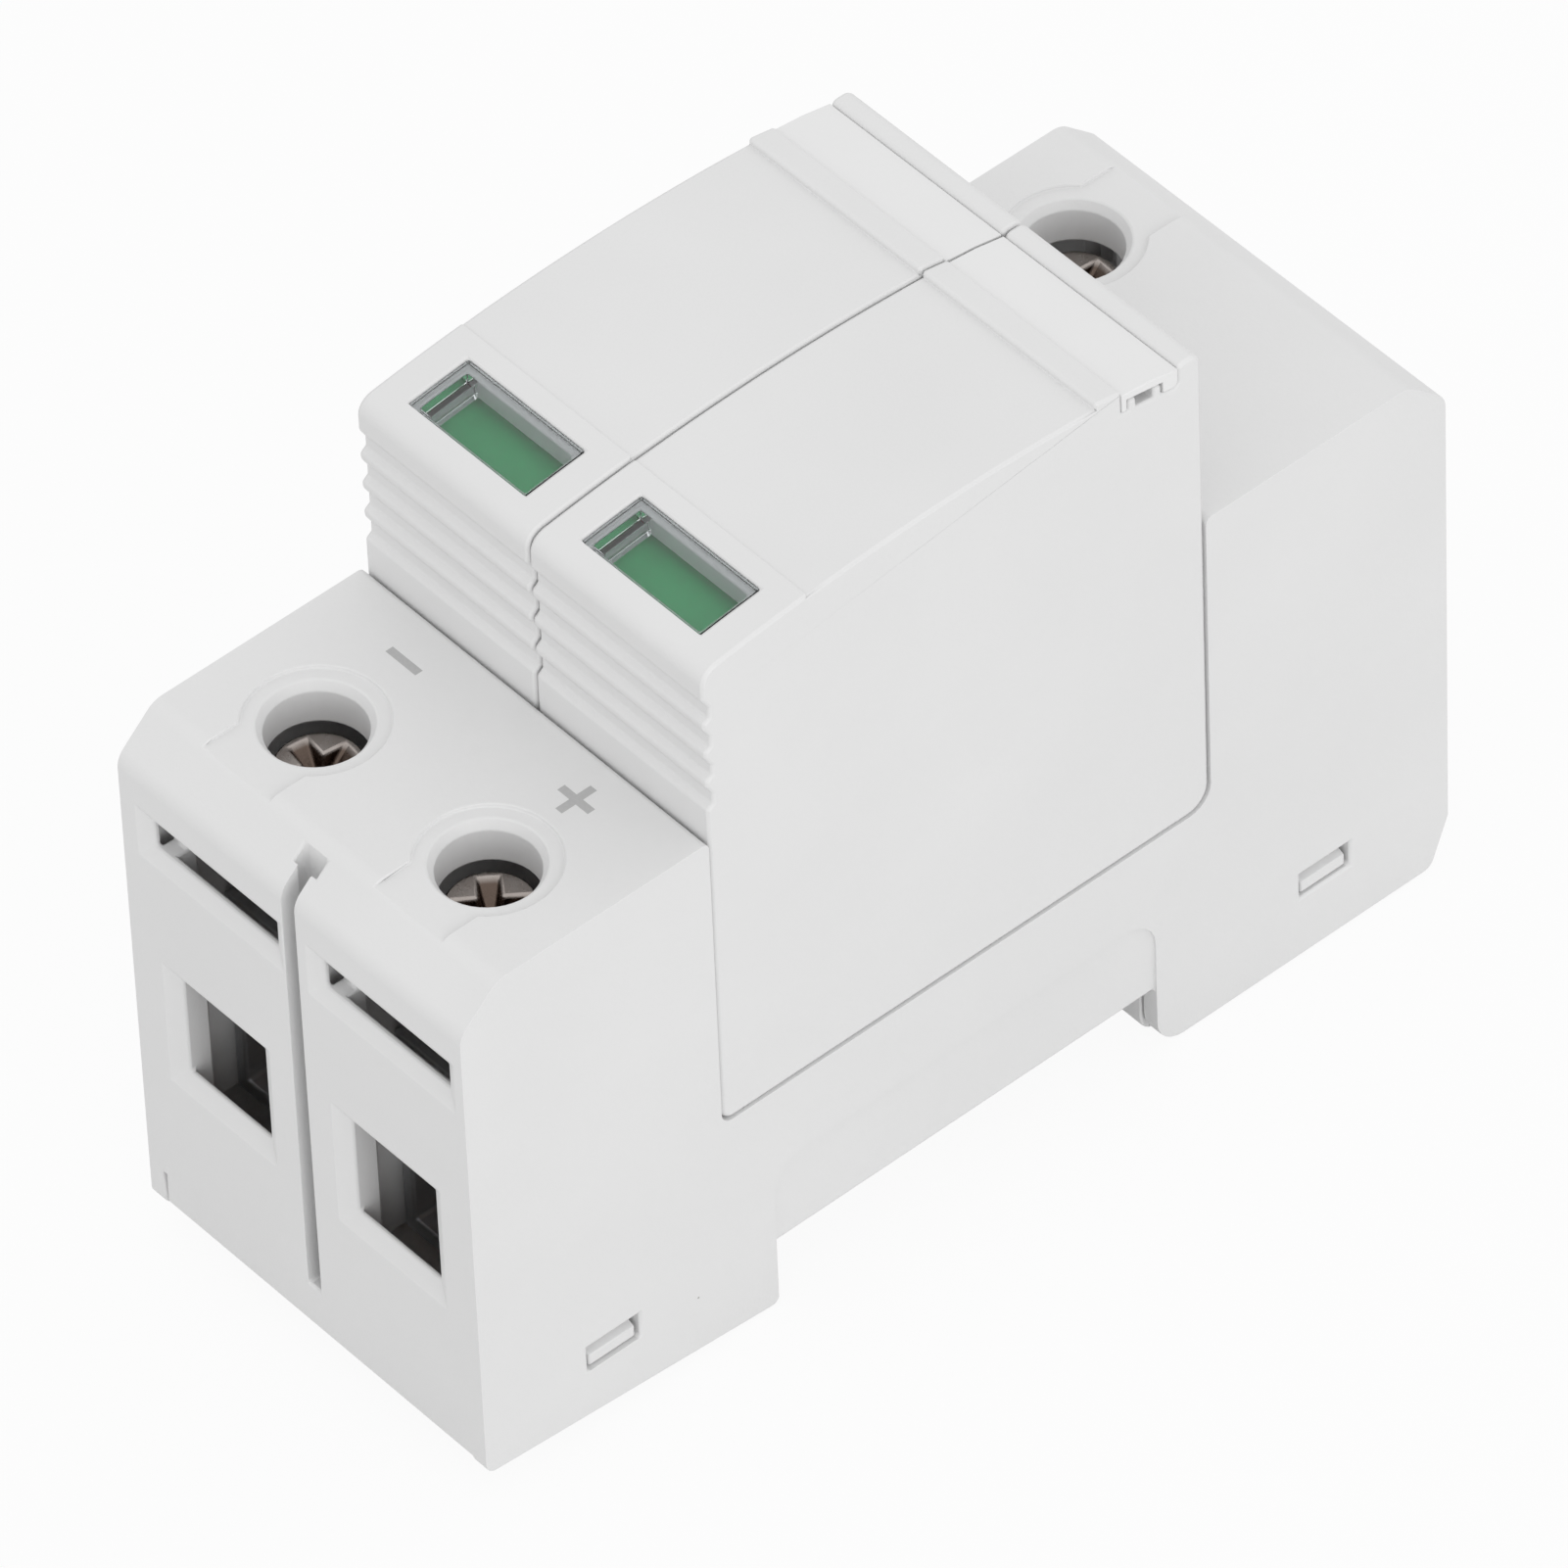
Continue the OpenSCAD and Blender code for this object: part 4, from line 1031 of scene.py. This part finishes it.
@dataclass
class Studio:
    """Pale floor, soft light and the camera of the photograph.

    Lengths are in metres and angles in degrees, unless the name says otherwise.
    """

    azimuth: float = 50.548
    elevation: float = 45.754
    roll: float = -2.505
    aim: tuple[float, float, float] = (0.00137, -0.00217, 0.02783)
    distance: float = 1.252
    view_depth: float = 20.0
    focal_px: float = 18428.0
    frame_px: float = 1601.0
    sensor_mm: float = 36.0
    sky: float = 0.95
    floor_half: float = 3.0
    floor_height: float = -0.0002
    floor_tone: str = "#D9D9D9"
    floor_white: float = 0.93
    lamp_place: tuple[float, float, float] = (1.0, -0.28, 0.3)
    lamp_size: float = 0.7
    lamp_watts: float = 2.6

    def build(self) -> None:
        """Sets the floor, the light, the sky, the camera and the plain view."""
        bpy.context.scene.view_settings.view_transform = "Standard"
        self.lay_floor()
        self.set_sky()
        self.hang_lamp()
        self.set_camera()

    def lay_floor(self) -> None:
        """Lays a white floor that keeps a faint shadow."""
        mesh = bpy.data.meshes.new("floor")
        half, low = self.floor_half, self.floor_height
        mesh.from_pydata([(-half, -half, low), (half, -half, low), (half, half, low), (-half, half, low)],
                         [], [(0, 1, 2, 3)])
        material, tree, _ = new_material("paper white floor")
        matt = add_node(tree, "ShaderNodeBsdfDiffuse", {"Color": linear(self.floor_tone)})
        glow = add_node(tree, "ShaderNodeEmission", {"Color": linear(WHITE), "Strength": 1.0})
        share = calc(tree, "MULTIPLY", seen_directly(tree), self.floor_white)
        mixed = add_node(tree, "ShaderNodeMixShader",
                         {0: share, 1: matt.outputs[0], 2: glow.outputs[0]})
        add_node(tree, "ShaderNodeOutputMaterial", {"Surface": mixed.outputs[0]})
        mesh.materials.append(material)
        floor = put("floor", mesh)
        floor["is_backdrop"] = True

    def set_sky(self) -> None:
        """Fills the room with even light, and shows white where it is seen."""
        world = bpy.data.worlds.new("studio")
        world.use_nodes = True
        tree = world.node_tree
        tree.nodes.clear()
        light = add_node(tree, "ShaderNodeBackground",
                         {"Color": linear(WHITE),
                          "Strength": ranged(tree, seen_directly(tree), self.sky, 1.0)})
        add_node(tree, "ShaderNodeOutputWorld", {"Surface": light.outputs[0]})
        bpy.context.scene.world = world

    def hang_lamp(self) -> None:
        """Hangs a square soft light that points at the object."""
        lamp = bpy.data.lights.new("key", "AREA")
        lamp.size = self.lamp_size
        lamp.energy = self.lamp_watts
        hung = put("key", lamp)
        hung.location = self.lamp_place
        way = Vector(self.aim) - Vector(self.lamp_place)
        hung.rotation_euler = way.to_track_quat("-Z", "Y").to_euler()

    def set_camera(self) -> None:
        """Puts the camera where the photograph was taken from."""
        a, e, r = (radians(v) for v in (self.azimuth, self.elevation, self.roll))
        back = Vector((sin(a) * cos(e), -cos(a) * cos(e), sin(e)))
        level = Vector((cos(a), sin(a), 0.0))
        upright = back.cross(level)
        right = level * cos(r) + upright * sin(r)
        up = back.cross(right)
        turn = Matrix((right, up, back)).transposed().to_4x4()
        lens = bpy.data.cameras.new("camera")
        lens.sensor_width = self.sensor_mm
        lens.sensor_fit = "HORIZONTAL"
        lens.lens = self.sensor_mm * self.focal_px / self.frame_px
        lens.clip_end = self.view_depth
        camera = put("camera", lens)
        camera.matrix_world = Matrix.Translation(Vector(self.aim) + back * self.distance) @ turn
        bpy.context.scene.camera = camera


def main() -> None:
    """Builds the studio and every sub-assembly."""
    logging.basicConfig(level=logging.INFO, format="%(name)s: %(message)s")
    Studio().build()
    shop = Workshop()
    coil = coil_tree()
    Base().build(shop)
    for terminal in Terminal:
        ScrewClamp(terminal).build(shop, coil)
    RailLatch().build(shop, coil)
    for pole in Pole:
        PlugModule(pole).build(shop, coil)
    boxes = {"cad": CAD_BOX, "visual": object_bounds()}
    {name: [list(corner) for corner in box] for name, box in boxes.items()}


if __name__ == "__main__":
    main()
